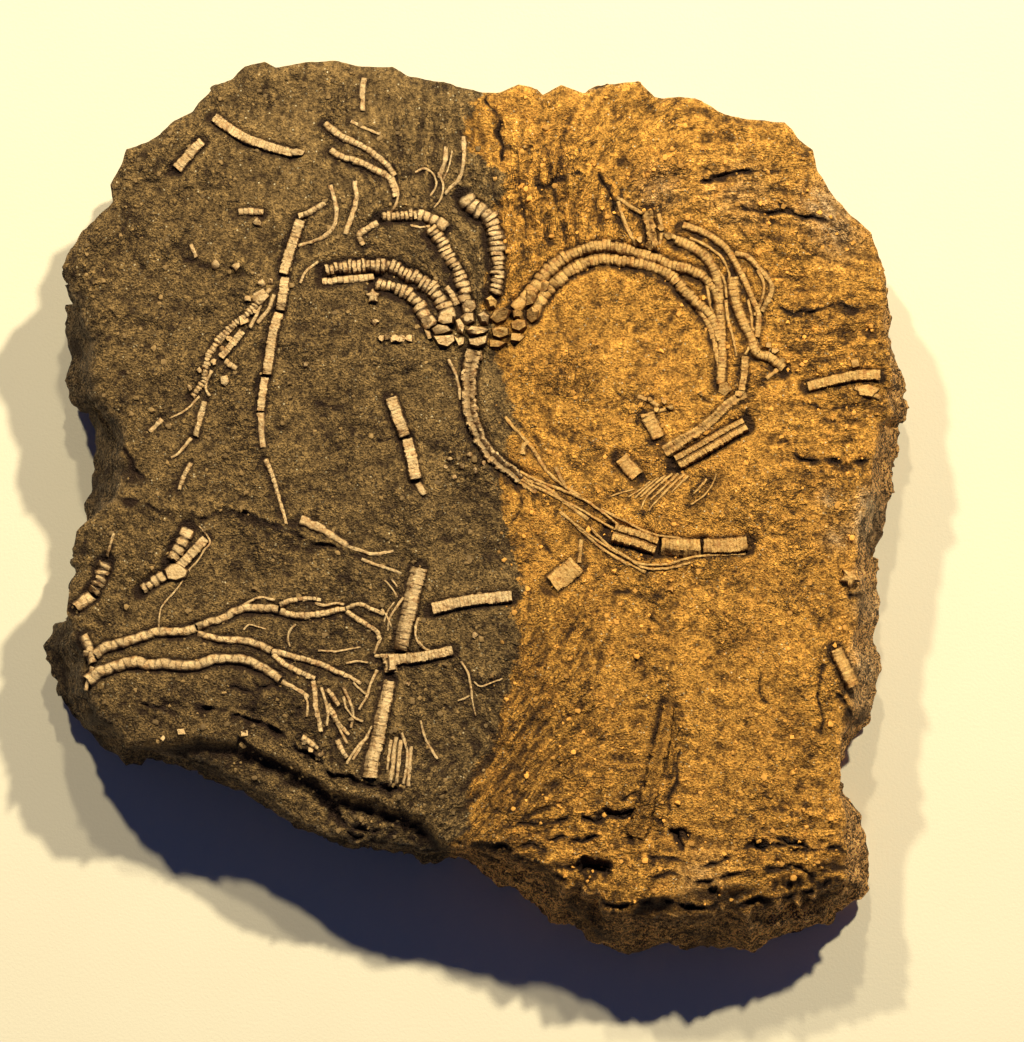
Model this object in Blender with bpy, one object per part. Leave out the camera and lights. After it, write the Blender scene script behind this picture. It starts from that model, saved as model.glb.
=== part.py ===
"""Crinoid fossil slab: one broken block of siltstone, flat underneath, with the separate runs of
two star-stemmed crinoids lying on its face. Metres, +Z up, the slab lies on its back on z = 0."""

import math

import bmesh
import bpy
from mathutils import Vector, noise
from mathutils.bvhtree import BVHTree
from mathutils.geometry import delaunay_2d_cdt

# Driving dimensions, in metres.
SLAB_LENGTH = 0.209  # along Y, at the level of the face
SLAB_THICKNESS = 0.036  # from the floor to the face near its edges
FACE_CROWN = 0.003  # how much higher the middle of the face is
EDGE_FALL = 0.0022  # how much lower the broken rim is than the face beside it
LOW_TERRACE = 0.0042  # drop of the broken terrace at the lower left
CORNER_STEP = 0.0028  # drop of the broken corner at the lower right
FACE_ROUGHNESS = 0.0007
WALL_ROUGHNESS = 0.0018
GAP = 0.0003  # clearance under and between neighbouring pieces
ELSEWHERE = Vector((7.1, 3.3, 5.7))  # a second, unrelated place in the noise

# The plan: u runs right and v runs down the face, both in steps of PLAN_STEP.
PLAN_LENGTH = 889
PLAN_STEP = SLAB_LENGTH / PLAN_LENGTH
PLAN_CENTRE = (479.7, 502.1)
FACE_GRID = 30.0  # spacing of the facets on the face, in steps

# The visible walls lean: each metre down, they stand this much further out and towards +Y.
WALL_SPREAD = 1.0
WALL_LEAN = 0.105
HIDDEN_WALL = 6.0  # an outline point with a wall this narrow drops straight down
LEANING_WALL = 14.0  # from this width on, the wall has its full lean
UNDERCUT = 12.0  # how far the underside is inside the outline, in steps

# The outline, clockwise from the left: u, v, and how far inside it the rim of the face runs.
OUTLINE = [
    (59, 265, 5), (67, 247, 5), (80, 229, 5), (89, 219, 5), (110, 199, 5), (107, 181, 5),
    (119, 160, 5), (123, 145, 5), (141, 139, 5), (155, 135, 5), (171, 120, 5), (190, 110, 5),
    (197, 100, 5), (214, 84, 5), (228, 79, 5), (242, 65, 5), (263, 60, 5), (275, 67, 5),
    (303, 61, 5), (337, 60, 5), (357, 65, 5), (392, 66, 5), (408, 75, 5), (428, 78, 5),
    (450, 83, 5), (480, 92, 5), (500, 92, 5), (518, 84, 5), (532, 87, 5), (543, 94, 5),
    (562, 84, 5), (584, 93, 5), (610, 83, 5), (640, 80, 5), (656, 96, 5), (698, 97, 5),
    (720, 110, 5), (742, 117, 5), (786, 121, 5), (803, 138, 6), (817, 149, 6), (821, 166, 6),
    (840, 192, 7), (863, 215, 8), (878, 227, 8), (886, 250, 8), (892, 273, 8), (896, 300, 9),
    (893, 320, 9), (901, 362, 10), (906, 384, 12), (901, 398, 12), (906, 416, 14),
    (895, 427, 14), (895, 440, 16), (893, 460, 18), (890, 472, 18), (894, 490, 20),
    (888, 508, 22), (881, 535, 22), (876, 557, 18), (879, 568, 20), (877, 590, 20),
    (880, 602, 20), (876, 630, 20), (875, 650, 20), (877, 667, 20), (871, 701, 18),
    (867, 725, 18), (852, 740, 12), (845, 765, 8), (845, 785, 8), (855, 813, 12),
    (857, 837, 14), (862, 858, 16), (862, 885, 20), (847, 902, 22), (833, 911, 26),
    (824, 929, 34), (790, 936, 38), (766, 942, 38), (745, 949, 38), (722, 943, 30),
    (680, 943, 24), (650, 942, 28), (620, 949, 32), (600, 945, 34), (586, 935, 34),
    (573, 922, 34), (550, 917, 32), (533, 903, 30), (515, 887, 32), (498, 886, 32),
    (480, 870, 22), (464, 855, 9), (442, 854, 7), (422, 859, 8), (407, 851, 7),
    (385, 848, 7), (355, 847, 7), (331, 842, 7), (303, 829, 7), (280, 815, 7),
    (262, 801, 8), (243, 793, 9), (230, 787, 10), (205, 775, 10), (172, 764, 10),
    (150, 756, 10), (125, 758, 10), (104, 742, 16), (80, 722, 20), (66, 698, 22),
    (60, 670, 24), (52, 646, 26), (59, 630, 16), (60, 612, 8), (68, 587, 6), (74, 568, 6),
    (70, 561, 6), (74, 530, 6), (88, 511, 10), (95, 495, 20), (98, 470, 26), (98, 440, 22),
    (90, 415, 20), (76, 407, 20), (70, 388, 20), (72, 358, 20), (64, 335, 24), (67, 312, 14),
    (64, 290, 7),
]

# Where the face breaks down to a lower level: the upper limit of each broken area, as u and v.
LOW_TERRACE_LIMIT = [
    (60, 800), (120, 745), (200, 733), (240, 738), (290, 757), (330, 785), (380, 800),
    (420, 812), (450, 845), (480, 900),
]
CORNER_LIMIT = [(560, 960), (640, 896), (700, 884), (760, 878), (810, 862), (870, 840)]
BREAK_WIDTH = 18.0  # how far a break takes to come down, in steps

# The fossil runs: the middle line on the plan, the width at its start and end in steps, and the
# material. Every run is named after what it is and where it lies.
STONE_TAN = "tan_calcite"
STONE_OCHRE = "ochre_calcite"
RUNS = {
    "main_stem": ([(474, 354), (470, 372), (469, 394), (470, 411), (475, 429), (482, 444),
                   (490, 457), (505, 470), (520, 480)], 13, 12, STONE_TAN),
    "arm_left_upper": ([(445, 312), (440, 301), (431, 291), (421, 283), (409, 276), (396, 269),
                        (383, 265), (360, 264), (340, 263), (322, 258)], 8, 7, STONE_TAN),
    "arm_left_lower": ([(428, 322), (420, 310), (413, 301), (405, 295), (395, 290),
                        (385, 287), (376, 285)], 8, 7, STONE_TAN),
    "arm_back": ([(465, 297), (462, 285), (456, 270), (449, 258), (443, 247), (436, 238)],
                 10, 9, STONE_TAN),
    "arm_back_tip": ([(441, 224), (428, 217), (418, 215), (405, 216), (392, 217), (382, 217)],
                     9, 7, STONE_TAN),
    "arm_centre": ([(464, 197), (470, 205), (483, 213), (492, 224), (495, 235), (497, 257),
                    (498, 278), (495, 292)], 13, 12, STONE_TAN),
    "arm_right_outer": ([(516, 307), (528, 294), (541, 278), (552, 265), (565, 255), (585, 246),
                         (600, 242), (615, 243), (635, 247), (655, 253), (673, 261), (692, 268),
                         (705, 277), (711, 285)], 9, 8, STONE_OCHRE),
    "arm_right_inner": ([(534, 319), (540, 307), (548, 296), (557, 287), (568, 279), (582, 270),
                         (595, 264), (610, 263), (625, 265), (644, 268), (660, 275), (674, 284),
                         (685, 295), (692, 303)], 8, 7, STONE_OCHRE),
    "branch_right_far": ([(683, 225), (701, 231), (716, 240), (727, 249), (735, 262), (744, 279),
                          (751, 296), (758, 312)], 6, 6, STONE_OCHRE),
    "branch_right_middle": ([(676, 240), (690, 246), (703, 255), (713, 266), (719, 279),
                             (721, 294), (722, 316), (723, 340), (722, 364), (720, 383)],
                            8, 8, STONE_OCHRE),
    "branch_right_near": ([(731, 282), (736, 300), (742, 320), (751, 340), (758, 355),
                           (770, 359), (783, 370)], 8, 8, STONE_OCHRE),
    "upper_right_column": ([(649, 212), (651, 225), (652, 238)], 9, 9, STONE_OCHRE),
    "top_strand_upper": ([(324, 122), (332, 129), (342, 136), (355, 142), (367, 149),
                          (378, 157), (388, 166), (395, 175)], 5, 5, STONE_TAN),
    "top_strand_lower": ([(328, 151), (340, 158), (352, 162), (365, 167), (374, 172),
                          (384, 180), (390, 189), (393, 200)], 6, 5, STONE_TAN),
    "left_column_top": ([(325, 203), (310, 210), (302, 214)], 6, 6, STONE_TAN),
    "left_column_upper": ([(299, 222), (293, 240), (288, 256), (283, 273)], 10, 10, STONE_TAN),
    "left_column_middle": ([(285, 279), (283, 294), (281, 309)], 10, 10, STONE_TAN),
    "left_column_lower": ([(279, 315), (273, 335), (270, 355), (267, 374)], 10, 10, STONE_TAN),
    "left_column_end": ([(265, 381), (263, 395), (261, 412)], 9, 9, STONE_TAN),
    "upper_left_column": ([(215, 116), (229, 127), (245, 137), (262, 143), (276, 148),
                           (291, 152)], 10, 10, STONE_TAN),
    "upper_left_stub": ([(176, 167), (188, 153), (200, 140)], 11, 11, STONE_TAN),
    "cluster_arm": ([(252, 309), (242, 320), (230, 329), (221, 338), (213, 349), (207, 361),
                     (205, 375), (203, 386), (195, 398)], 7, 6, STONE_TAN),
    "cluster_bar": ([(242, 335), (232, 347), (223, 359)], 8, 8, STONE_TAN),
    "middle_column_upper": ([(391, 400), (398, 420), (404, 436)], 12, 12, STONE_TAN),
    "middle_column_lower": ([(407, 443), (412, 460), (416, 481)], 12, 12, STONE_TAN),
    "right_column": ([(810, 388), (825, 383), (842, 379), (860, 377), (878, 377)],
                     11, 11, STONE_TAN),
    "grooved_column": ([(678, 464), (694, 455), (710, 446), (727, 436), (743, 427)],
                       14, 13, STONE_OCHRE),
    "low_column_behind": ([(668, 446), (684, 434), (702, 420), (719, 405), (732, 396)],
                          9, 8, STONE_OCHRE),
    "stem_cirri": ([(534, 480), (550, 488), (565, 497), (580, 506), (596, 518), (608, 528)],
                   22, 26, STONE_OCHRE),
    "stem_joint_near": ([(615, 538), (636, 543), (656, 549)], 18, 18, STONE_OCHRE),
    "stem_joint_middle": ([(663, 550), (680, 549), (698, 549)], 16, 16, STONE_OCHRE),
    "stem_joint_far": ([(704, 549), (725, 547), (745, 546)], 14, 14, STONE_OCHRE),
    "lower_right_column": ([(834, 652), (843, 669), (850, 686)], 13, 13, STONE_TAN),
    "centre_stub": ([(574, 569), (564, 577), (554, 585)], 20, 18, STONE_OCHRE),
    "cross_upper_column": ([(420, 573), (414, 593), (410, 613), (405, 632), (402, 649)],
                           16, 13, STONE_TAN),
    "cross_side_column": ([(390, 664), (401, 663), (415, 661), (435, 658), (453, 654)],
                          13, 10, STONE_TAN),
    "cross_lower_column": ([(390, 684), (387, 700), (382, 722), (378, 745), (373, 763),
                            (371, 778)], 12, 14, STONE_TAN),
    "cross_right_bar": ([(433, 611), (452, 606), (473, 602), (493, 601), (511, 600)],
                        11, 11, STONE_TAN),
    "small_base_plate": ([(85, 638), (89, 648), (91, 660)], 7, 6, STONE_TAN),
    "small_arm_upper": ([(99, 657), (106, 651), (116, 647), (137, 643), (150, 639), (162, 635),
                         (180, 635), (195, 634)], 9, 9, STONE_TAN),
    "small_arm_upper_branch": ([(203, 627), (213, 623), (224, 620), (236, 614), (248, 610),
                                (262, 611), (275, 612)], 7, 9, STONE_TAN),
    "small_twig_top": ([(284, 606), (292, 603), (302, 601), (314, 601), (323, 603)],
                       4, 4, STONE_TAN),
    "small_branch_upper": ([(283, 616), (296, 618), (310, 618), (326, 616), (338, 613)],
                           6, 6, STONE_TAN),
    "small_twig_upper": ([(347, 609), (356, 607), (365, 609), (374, 613), (385, 617)],
                         4, 4, STONE_TAN),
    "small_twig_middle": ([(346, 617), (357, 623), (368, 629), (378, 636)], 5, 5, STONE_TAN),
    "small_arm_middle": ([(206, 638), (222, 641), (240, 643), (254, 646), (266, 650)],
                         7, 8, STONE_TAN),
    "small_twig_lower": ([(274, 652), (288, 657), (308, 662), (324, 668), (344, 676)],
                         6, 5, STONE_TAN),
    "small_twig_low": ([(274, 660), (285, 667), (297, 674), (312, 680)], 6, 5, STONE_TAN),
    "small_arm_lower": ([(93, 682), (103, 674), (118, 668), (138, 664), (157, 667), (180, 668),
                         (200, 667), (215, 662), (231, 661), (246, 663), (259, 669),
                         (270, 677), (278, 684)], 11, 8, STONE_TAN),
    "edge_piece": ([(104, 566), (98, 576), (96, 588), (90, 600), (78, 612)], 13, 12, STONE_TAN),
    "twin_column": ([(188, 532), (183, 543), (178, 555)], 12, 10, STONE_TAN),
    "twin_bar": ([(205, 543), (194, 555), (184, 566)], 9, 9, STONE_TAN),
    "twin_foot": ([(180, 577), (163, 578), (153, 584), (146, 590)], 11, 8, STONE_TAN),
}

# Broad, low pieces: corners on the plan, height in metres, and the material.
PLATES = {
    "calyx_middle": ([(466, 330), (472, 319), (484, 319), (489, 331), (486, 345), (469, 346)],
                     0.0024, STONE_TAN),
    "calyx_left": ([(433, 331), (447, 318), (460, 323), (458, 338), (447, 347), (436, 344)],
                   0.0022, STONE_TAN),
    "calyx_right": ([(494, 312), (509, 310), (525, 323), (524, 338), (508, 345), (494, 336)],
                    0.0022, STONE_TAN),
}
STAR_CENTRE = (848, 580)
STAR_RADIUS = 11.5  # to its points, in steps
STAR_WAIST = 0.52  # the notches between its points, as a part of its radius
STAR_HEIGHT = 0.0014

RUN_HEIGHT = 0.62  # how far a run stands proud, as a part of its width
RUN_SHOULDER = (0.84, 0.62)  # where its rounded shoulder is, of its half width and its height

STONES = {
    "matrix": ((0.20, 0.15, 0.09), 0.93),
    STONE_TAN: ((0.50, 0.37, 0.22), 0.80),
    STONE_OCHRE: ((0.47, 0.28, 0.11), 0.82),
}


def clear_scene():
    for obj in list(bpy.data.objects):
        bpy.data.objects.remove(obj, do_unlink=True)


def stone_material(name):
    colour, roughness = STONES[name]
    material = bpy.data.materials.new(name)
    material.use_nodes = True
    shader = material.node_tree.nodes["Principled BSDF"]
    shader.inputs["Base Color"].default_value = (*colour, 1.0)
    shader.inputs["Roughness"].default_value = roughness
    shader.inputs["Metallic"].default_value = 0.0
    return material


def add_piece(name, mesh, material):
    obj = bpy.data.objects.new(name, mesh)
    bpy.context.scene.collection.objects.link(obj)
    mesh.materials.append(material)
    return obj


def place(u, v):
    """The plan point u, v at the level of the face."""
    return Vector(((u - PLAN_CENTRE[0]) * PLAN_STEP, (PLAN_CENTRE[1] - v) * PLAN_STEP))


def smooth_step(t):
    t = min(1.0, max(0.0, t))
    return t * t * (3.0 - 2.0 * t)


def height_on(line, u):
    """The v of a line of points at u."""
    for (u0, v0), (u1, v1) in zip(line, line[1:]):
        if u0 <= u <= u1:
            return v0 + (v1 - v0) * (u - u0) / (u1 - u0)
    return math.inf


def face_height(u, v):
    """Height of the stone's face over the floor, before its rim falls away."""
    across, along = (u - 470.0) / 430.0, (v - 490.0) / 440.0
    height = SLAB_THICKNESS + FACE_CROWN * max(0.0, 1.0 - across * across - along * along)
    below_terrace = (v - height_on(LOW_TERRACE_LIMIT, u)) / BREAK_WIDTH
    below_corner = (v - height_on(CORNER_LIMIT, u)) / BREAK_WIDTH
    height -= LOW_TERRACE * smooth_step(below_terrace)
    height -= CORNER_STEP * smooth_step(below_corner)
    return height + FACE_ROUGHNESS * noise.noise(Vector((u / 60.0, v / 60.0, 0.3)))


def inward_directions(points):
    """For each point of a clockwise outline, the direction into it, evened out over neighbours."""
    count = len(points)
    raw = []
    for i in range(count):
        tangent = points[(i + 1) % count] - points[i - 1]
        raw.append(Vector((-tangent.y, tangent.x)).normalized())
    directions = []
    for i in range(count):
        total = sum((raw[(i + k) % count] for k in (-2, -1, 0, 1, 2)), Vector((0.0, 0.0)))
        directions.append(total.normalized())
    return directions


def wall_ring(points, insets, inward, height, run_in):
    """One level of the slab's wall; run_in maps a wall's width to how far inside this level is."""
    ring = []
    for point, inset, direction in zip(points, insets, inward):
        u, v = point + direction * run_in(inset)
        drop = SLAB_THICKNESS - height
        lean = smooth_step((inset - HIDDEN_WALL) / (LEANING_WALL - HIDDEN_WALL))
        place_here = place(u, v) * (1.0 + WALL_SPREAD * drop * lean)
        place_here.y += WALL_LEAN * drop * lean
        seed = Vector((u / 25.0, v / 25.0, height * 90.0))
        place_here.x += noise.noise(seed) * WALL_ROUGHNESS
        place_here.y += noise.noise(seed + ELSEWHERE) * WALL_ROUGHNESS
        ring.append(Vector((*place_here, height)))
    return ring


def slab_levels():
    points = [Vector((u, v)) for u, v, _ in OUTLINE]
    insets = [inset for _, _, inset in OUTLINE]
    inward = inward_directions(points)
    levels = [
        wall_ring(points, insets, inward, 0.0, lambda inset: UNDERCUT),
        wall_ring(points, insets, inward, 0.15 * SLAB_THICKNESS, lambda inset: 0.2 * inset),
        wall_ring(points, insets, inward, 0.42 * SLAB_THICKNESS, lambda inset: 0.0),
        wall_ring(points, insets, inward, 0.74 * SLAB_THICKNESS, lambda inset: 0.42 * inset),
    ]
    rim = []
    for point, inset, direction in zip(points, insets, inward):
        u, v = point + direction * inset
        rim.append(Vector((*place(u, v), face_height(u, v) - EDGE_FALL)))
    return levels + [rim]


def inside(loop, point, margin):
    """Whether a point is inside a loop and at least margin away from its sides."""
    crossings = 0
    for a, b in zip(loop, loop[1:] + loop[:1]):
        side = b - a
        along = max(0.0, min(1.0, (point - a).dot(side) / side.length_squared))
        if (a + side * along - point).length < margin:
            return False
        if (a.y > point.y) != (b.y > point.y):
            crossings += point.x < a.x + side.x * (point.y - a.y) / side.y
    return crossings % 2 == 1


def face_grid(rim):
    """Points of a triangular grid over the face, clear of its rim."""
    loop = [corner.xy for corner in rim]
    spacing = FACE_GRID * PLAN_STEP
    row_height = spacing * math.sqrt(3.0) / 2.0
    half_rows = int(0.6 * SLAB_LENGTH / row_height)
    half_columns = int(0.6 * SLAB_LENGTH / spacing)
    grid = []
    for row in range(-half_rows, half_rows + 1):
        for column in range(-half_columns, half_columns + 1):
            point = Vector(((column + 0.5 * (row % 2)) * spacing, row * row_height))
            if inside(loop, point, 0.5 * spacing):
                u = point.x / PLAN_STEP + PLAN_CENTRE[0]
                v = PLAN_CENTRE[1] - point.y / PLAN_STEP
                grid.append(Vector((*point, face_height(u, v))))
    return grid


def build_slab():
    levels = slab_levels()
    count = len(OUTLINE)
    bm = bmesh.new()
    rings = [[bm.verts.new(corner) for corner in level] for level in levels]
    for lower, upper in zip(rings, rings[1:]):
        for i in range(count):
            j = (i + 1) % count
            bm.faces.new((lower[i], lower[j], upper[j], upper[i]))
    bm.faces.new(rings[0])
    grid = face_grid(levels[-1])
    face_verts = rings[-1] + [bm.verts.new(corner) for corner in grid]
    flat = [vert.co.xy for vert in face_verts]
    rim_edges = [(i, (i + 1) % count) for i in range(count)]
    faces = delaunay_2d_cdt(flat, rim_edges, [], 1, 1e-7)[2]
    for corners in faces:
        bm.faces.new([face_verts[i] for i in corners])
    bmesh.ops.recalc_face_normals(bm, faces=bm.faces)
    bmesh.ops.triangulate(bm, faces=bm.faces)
    mesh = bpy.data.meshes.new("matrix_slab")
    bm.to_mesh(mesh)
    tree = BVHTree.FromBMesh(bm)
    bm.free()
    return add_piece("matrix_slab", mesh, stone_material("matrix")), tree


def highest_ground(tree, point, reach):
    """The highest point of the slab's face within reach of a place."""
    tops = []
    for ring in (0.0, 0.5, 1.0):
        for step in range(8):
            angle = step * math.pi / 4.0
            offset = Vector((math.cos(angle), math.sin(angle))) * reach * ring
            start = Vector((*(point + offset), 2.0 * SLAB_THICKNESS))
            hit = tree.ray_cast(start, Vector((0.0, 0.0, -1.0)))[0]
            if hit is not None:
                tops.append(hit.z)
    return max(tops)


def add_run(name, tree, materials):
    """A rounded run of ossicles: a D-shaped section swept along its line just over the face."""
    line, start_width, end_width, stone = RUNS[name]
    points = [place(u, v) for u, v in line]
    last = len(points) - 1
    bm = bmesh.new()
    sections = []
    for i, point in enumerate(points):
        tangent = (points[min(i + 1, last)] - points[max(i - 1, 0)]).normalized()
        side = Vector((-tangent.y, tangent.x))
        width = (start_width + (end_width - start_width) * i / last) * PLAN_STEP
        nearest = min((points[k] - point).length for k in (i - 1, i + 1) if 0 <= k <= last)
        ground = highest_ground(tree, point, max(0.6 * width, 0.55 * nearest)) + GAP
        rise = RUN_HEIGHT * min(width, 0.0034)
        profile = [
            (0.5, 0.0), (0.5 * RUN_SHOULDER[0], RUN_SHOULDER[1]), (0.0, 1.0),
            (-0.5 * RUN_SHOULDER[0], RUN_SHOULDER[1]), (-0.5, 0.0),
        ]
        section = []
        for across, up in profile:
            corner = point + side * across * width
            section.append(bm.verts.new((*corner, ground + up * rise)))
        sections.append(section)
    size = len(sections[0])
    for before, after in zip(sections, sections[1:]):
        for i in range(size):
            j = (i + 1) % size
            bm.faces.new((before[i], before[j], after[j], after[i]))
    bm.faces.new(sections[0])
    bm.faces.new(sections[-1])
    bmesh.ops.recalc_face_normals(bm, faces=bm.faces)
    bmesh.ops.triangulate(bm, faces=bm.faces)
    mesh = bpy.data.meshes.new(name)
    bm.to_mesh(mesh)
    bm.free()
    mesh.shade_smooth()
    mesh.set_sharp_from_angle(angle=math.radians(50.0))
    return add_piece(name, mesh, materials[stone])


def add_plate(name, corners, rise, tree, material):
    """A low plate with a sloping border and a slightly domed middle."""
    points = [place(u, v) for u, v in corners]
    middle = sum(points, Vector((0.0, 0.0))) / len(points)
    reach = max((point - middle).length for point in points)
    ground = highest_ground(tree, middle, reach) + GAP
    bm = bmesh.new()
    foot = [bm.verts.new((*point, ground)) for point in points]
    shoulder = [bm.verts.new((*point.lerp(middle, 0.14), ground + 0.75 * rise)) for point in points]
    crown = bm.verts.new((*middle, ground + rise))
    count = len(points)
    for i in range(count):
        j = (i + 1) % count
        bm.faces.new((foot[i], foot[j], shoulder[j], shoulder[i]))
        bm.faces.new((shoulder[i], shoulder[j], crown))
    bm.faces.new(foot)
    bmesh.ops.recalc_face_normals(bm, faces=bm.faces)
    bmesh.ops.triangulate(bm, faces=bm.faces)
    mesh = bpy.data.meshes.new(name)
    bm.to_mesh(mesh)
    bm.free()
    return add_piece(name, mesh, material)


def star_corners():
    corners = []
    for i in range(10):
        radius = STAR_RADIUS * (1.0 if i % 2 == 0 else STAR_WAIST)
        angle = math.radians(36.0 * i + 55.0)
        corners.append((STAR_CENTRE[0] + radius * math.cos(angle),
                        STAR_CENTRE[1] - radius * math.sin(angle)))
    return corners


def main():
    clear_scene()
    _, tree = build_slab()
    materials = {name: stone_material(name) for name in (STONE_TAN, STONE_OCHRE)}
    for name in RUNS:
        add_run(name, tree, materials)
    for name, (corners, rise, stone) in PLATES.items():
        add_plate(name, corners, rise, tree, materials[stone])
    add_plate("star_columnal", star_corners(), STAR_HEIGHT, tree, materials[STONE_OCHRE])


main()
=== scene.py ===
"""Looks of the crinoid fossil slab: a fine mesh of the stone in place of its plain solid, every
fossil run built ossicle by ossicle in place of its plain bar, and the small pieces between them."""

import math

import bpy
import numpy as np
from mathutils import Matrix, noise
from mathutils.geometry import delaunay_2d_cdt


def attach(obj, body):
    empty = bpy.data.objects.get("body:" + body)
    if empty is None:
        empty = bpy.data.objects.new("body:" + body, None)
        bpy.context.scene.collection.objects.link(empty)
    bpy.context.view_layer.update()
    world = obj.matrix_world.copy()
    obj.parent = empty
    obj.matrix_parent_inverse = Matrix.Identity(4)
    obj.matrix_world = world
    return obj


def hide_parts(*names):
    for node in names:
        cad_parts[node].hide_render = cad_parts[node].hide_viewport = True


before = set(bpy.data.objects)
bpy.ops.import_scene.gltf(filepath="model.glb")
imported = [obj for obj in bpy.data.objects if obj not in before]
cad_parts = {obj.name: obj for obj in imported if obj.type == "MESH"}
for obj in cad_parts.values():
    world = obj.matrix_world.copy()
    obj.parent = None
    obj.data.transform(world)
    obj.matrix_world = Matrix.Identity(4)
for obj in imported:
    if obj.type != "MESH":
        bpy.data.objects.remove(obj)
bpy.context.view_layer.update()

# ---------------------------------------------------------------- sizes, in metres
MM = 0.001
SLAB_LENGTH = 0.209  # of the face, over PLAN_LENGTH steps of the plan
SLAB_THICKNESS = 0.036
FACE_CROWN = 0.003
EDGE_FALL = 0.0022
LOW_TERRACE = 0.0042
CORNER_STEP = 0.0028
FACE_ROUGHNESS = 0.0007

# The plan: u runs right and v runs down the face, in steps of PLAN_STEP, as in the solids.
PLAN_LENGTH = 889
PLAN_STEP = SLAB_LENGTH / PLAN_LENGTH
PLAN_CENTRE = (479.7, 502.1)

# The camera looks at VIEW_CENTRE of the face and sees VIEW_HEIGHT steps from top to bottom.
VIEW_CENTRE = (512.0, 523.6)
VIEW_HEIGHT = 1038
VIEW_TILT = math.radians(6.0)
CAMERA_DISTANCE = 1.6
SENSOR = 36.0

# The outline, clockwise from the left: u, v, and how far inside it the rim of the face runs.
OUTLINE = [
    (59, 265, 5), (67, 247, 5), (80, 229, 5), (89, 219, 5), (110, 199, 5), (107, 181, 5),
    (119, 160, 5), (123, 145, 5), (141, 139, 5), (155, 131, 5), (171, 116, 5), (190, 106, 5),
    (197, 96, 5), (214, 79, 5), (228, 74, 5), (242, 60, 5), (263, 55, 5), (275, 62, 5),
    (303, 56, 5), (337, 55, 5), (357, 60, 5), (392, 61, 5), (408, 70, 5), (428, 73, 5),
    (450, 78, 5), (480, 87, 5), (500, 87, 5), (518, 79, 5), (532, 82, 5), (543, 89, 5),
    (562, 79, 5), (584, 88, 5), (610, 78, 5), (640, 75, 5), (656, 91, 5), (698, 92, 5),
    (720, 106, 5), (742, 113, 5), (786, 117, 5), (803, 134, 6), (817, 145, 6), (821, 166, 6),
    (840, 192, 7), (863, 215, 8), (878, 227, 8), (886, 250, 8), (892, 273, 8), (896, 300, 9),
    (893, 320, 9), (901, 362, 10), (906, 384, 12), (901, 398, 12), (906, 416, 14),
    (895, 427, 14), (895, 440, 16), (893, 460, 18), (890, 472, 18), (894, 490, 20),
    (888, 508, 22), (881, 535, 22), (876, 557, 18), (879, 568, 20), (877, 590, 20),
    (880, 602, 20), (876, 630, 20), (875, 650, 20), (877, 667, 20), (871, 701, 18),
    (867, 725, 18), (852, 740, 12), (845, 765, 8), (845, 785, 8), (855, 813, 12),
    (857, 837, 14), (862, 858, 16), (862, 885, 20), (847, 902, 22), (833, 911, 26),
    (824, 929, 34), (790, 936, 38), (766, 942, 38), (745, 949, 38), (722, 943, 30),
    (680, 943, 24), (650, 942, 28), (620, 949, 32), (600, 945, 34), (586, 935, 34),
    (573, 922, 34), (550, 917, 32), (533, 903, 30), (515, 887, 32), (498, 886, 32),
    (480, 870, 22), (464, 855, 9), (442, 854, 7), (422, 859, 8), (407, 851, 7),
    (385, 848, 7), (355, 847, 7), (331, 842, 7), (303, 829, 7), (280, 815, 7),
    (262, 801, 8), (243, 793, 9), (230, 787, 10), (205, 775, 10), (172, 764, 10),
    (150, 756, 10), (125, 758, 10), (104, 742, 16), (80, 722, 20), (66, 698, 22),
    (60, 670, 24), (52, 646, 26), (59, 630, 16), (60, 612, 8), (68, 587, 6), (74, 568, 6),
    (70, 561, 6), (74, 530, 6), (88, 511, 10), (95, 495, 20), (98, 470, 26), (98, 440, 22),
    (90, 415, 20), (76, 407, 20), (70, 388, 20), (72, 358, 20), (64, 335, 24), (67, 312, 14),
    (64, 290, 7),
]
LOW_TERRACE_LIMIT = [
    (60, 800), (120, 745), (200, 733), (240, 738), (290, 757), (330, 785), (380, 800),
    (420, 812), (450, 845), (480, 900),
]
CORNER_LIMIT = [(560, 960), (640, 896), (700, 884), (760, 878), (810, 862), (870, 840)]
BREAK_WIDTH = 18.0

# ---------------------------------------------------------------- fine stone
FACE_SPACING = 3.05  # of the mesh's points on the face, in steps
GRID_FROM, GRID_SPAN = (40.0, 50.0), 900  # the square that these points fill, in steps
WALL_POINTS = 900  # around the wall
WALL_LEVELS = 16  # from its foot to the rim
HIDDEN_WALL, LEANING_WALL = 6.0, 14.0  # insets of the rim between which the wall starts to lean
WALL_SPREAD, WALL_LEAN = 1.0, 0.105  # how it leans, outwards and up the plan, per metre of drop
UNDERCUT = 12.0  # how far its foot is set in, in steps
MAP_ORIGIN = (36.0, 44.0)  # the height map's first point, as u and v
MAP_STEP = 1.1
MAP_SIZE = (810, 838)  # across and down

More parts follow.
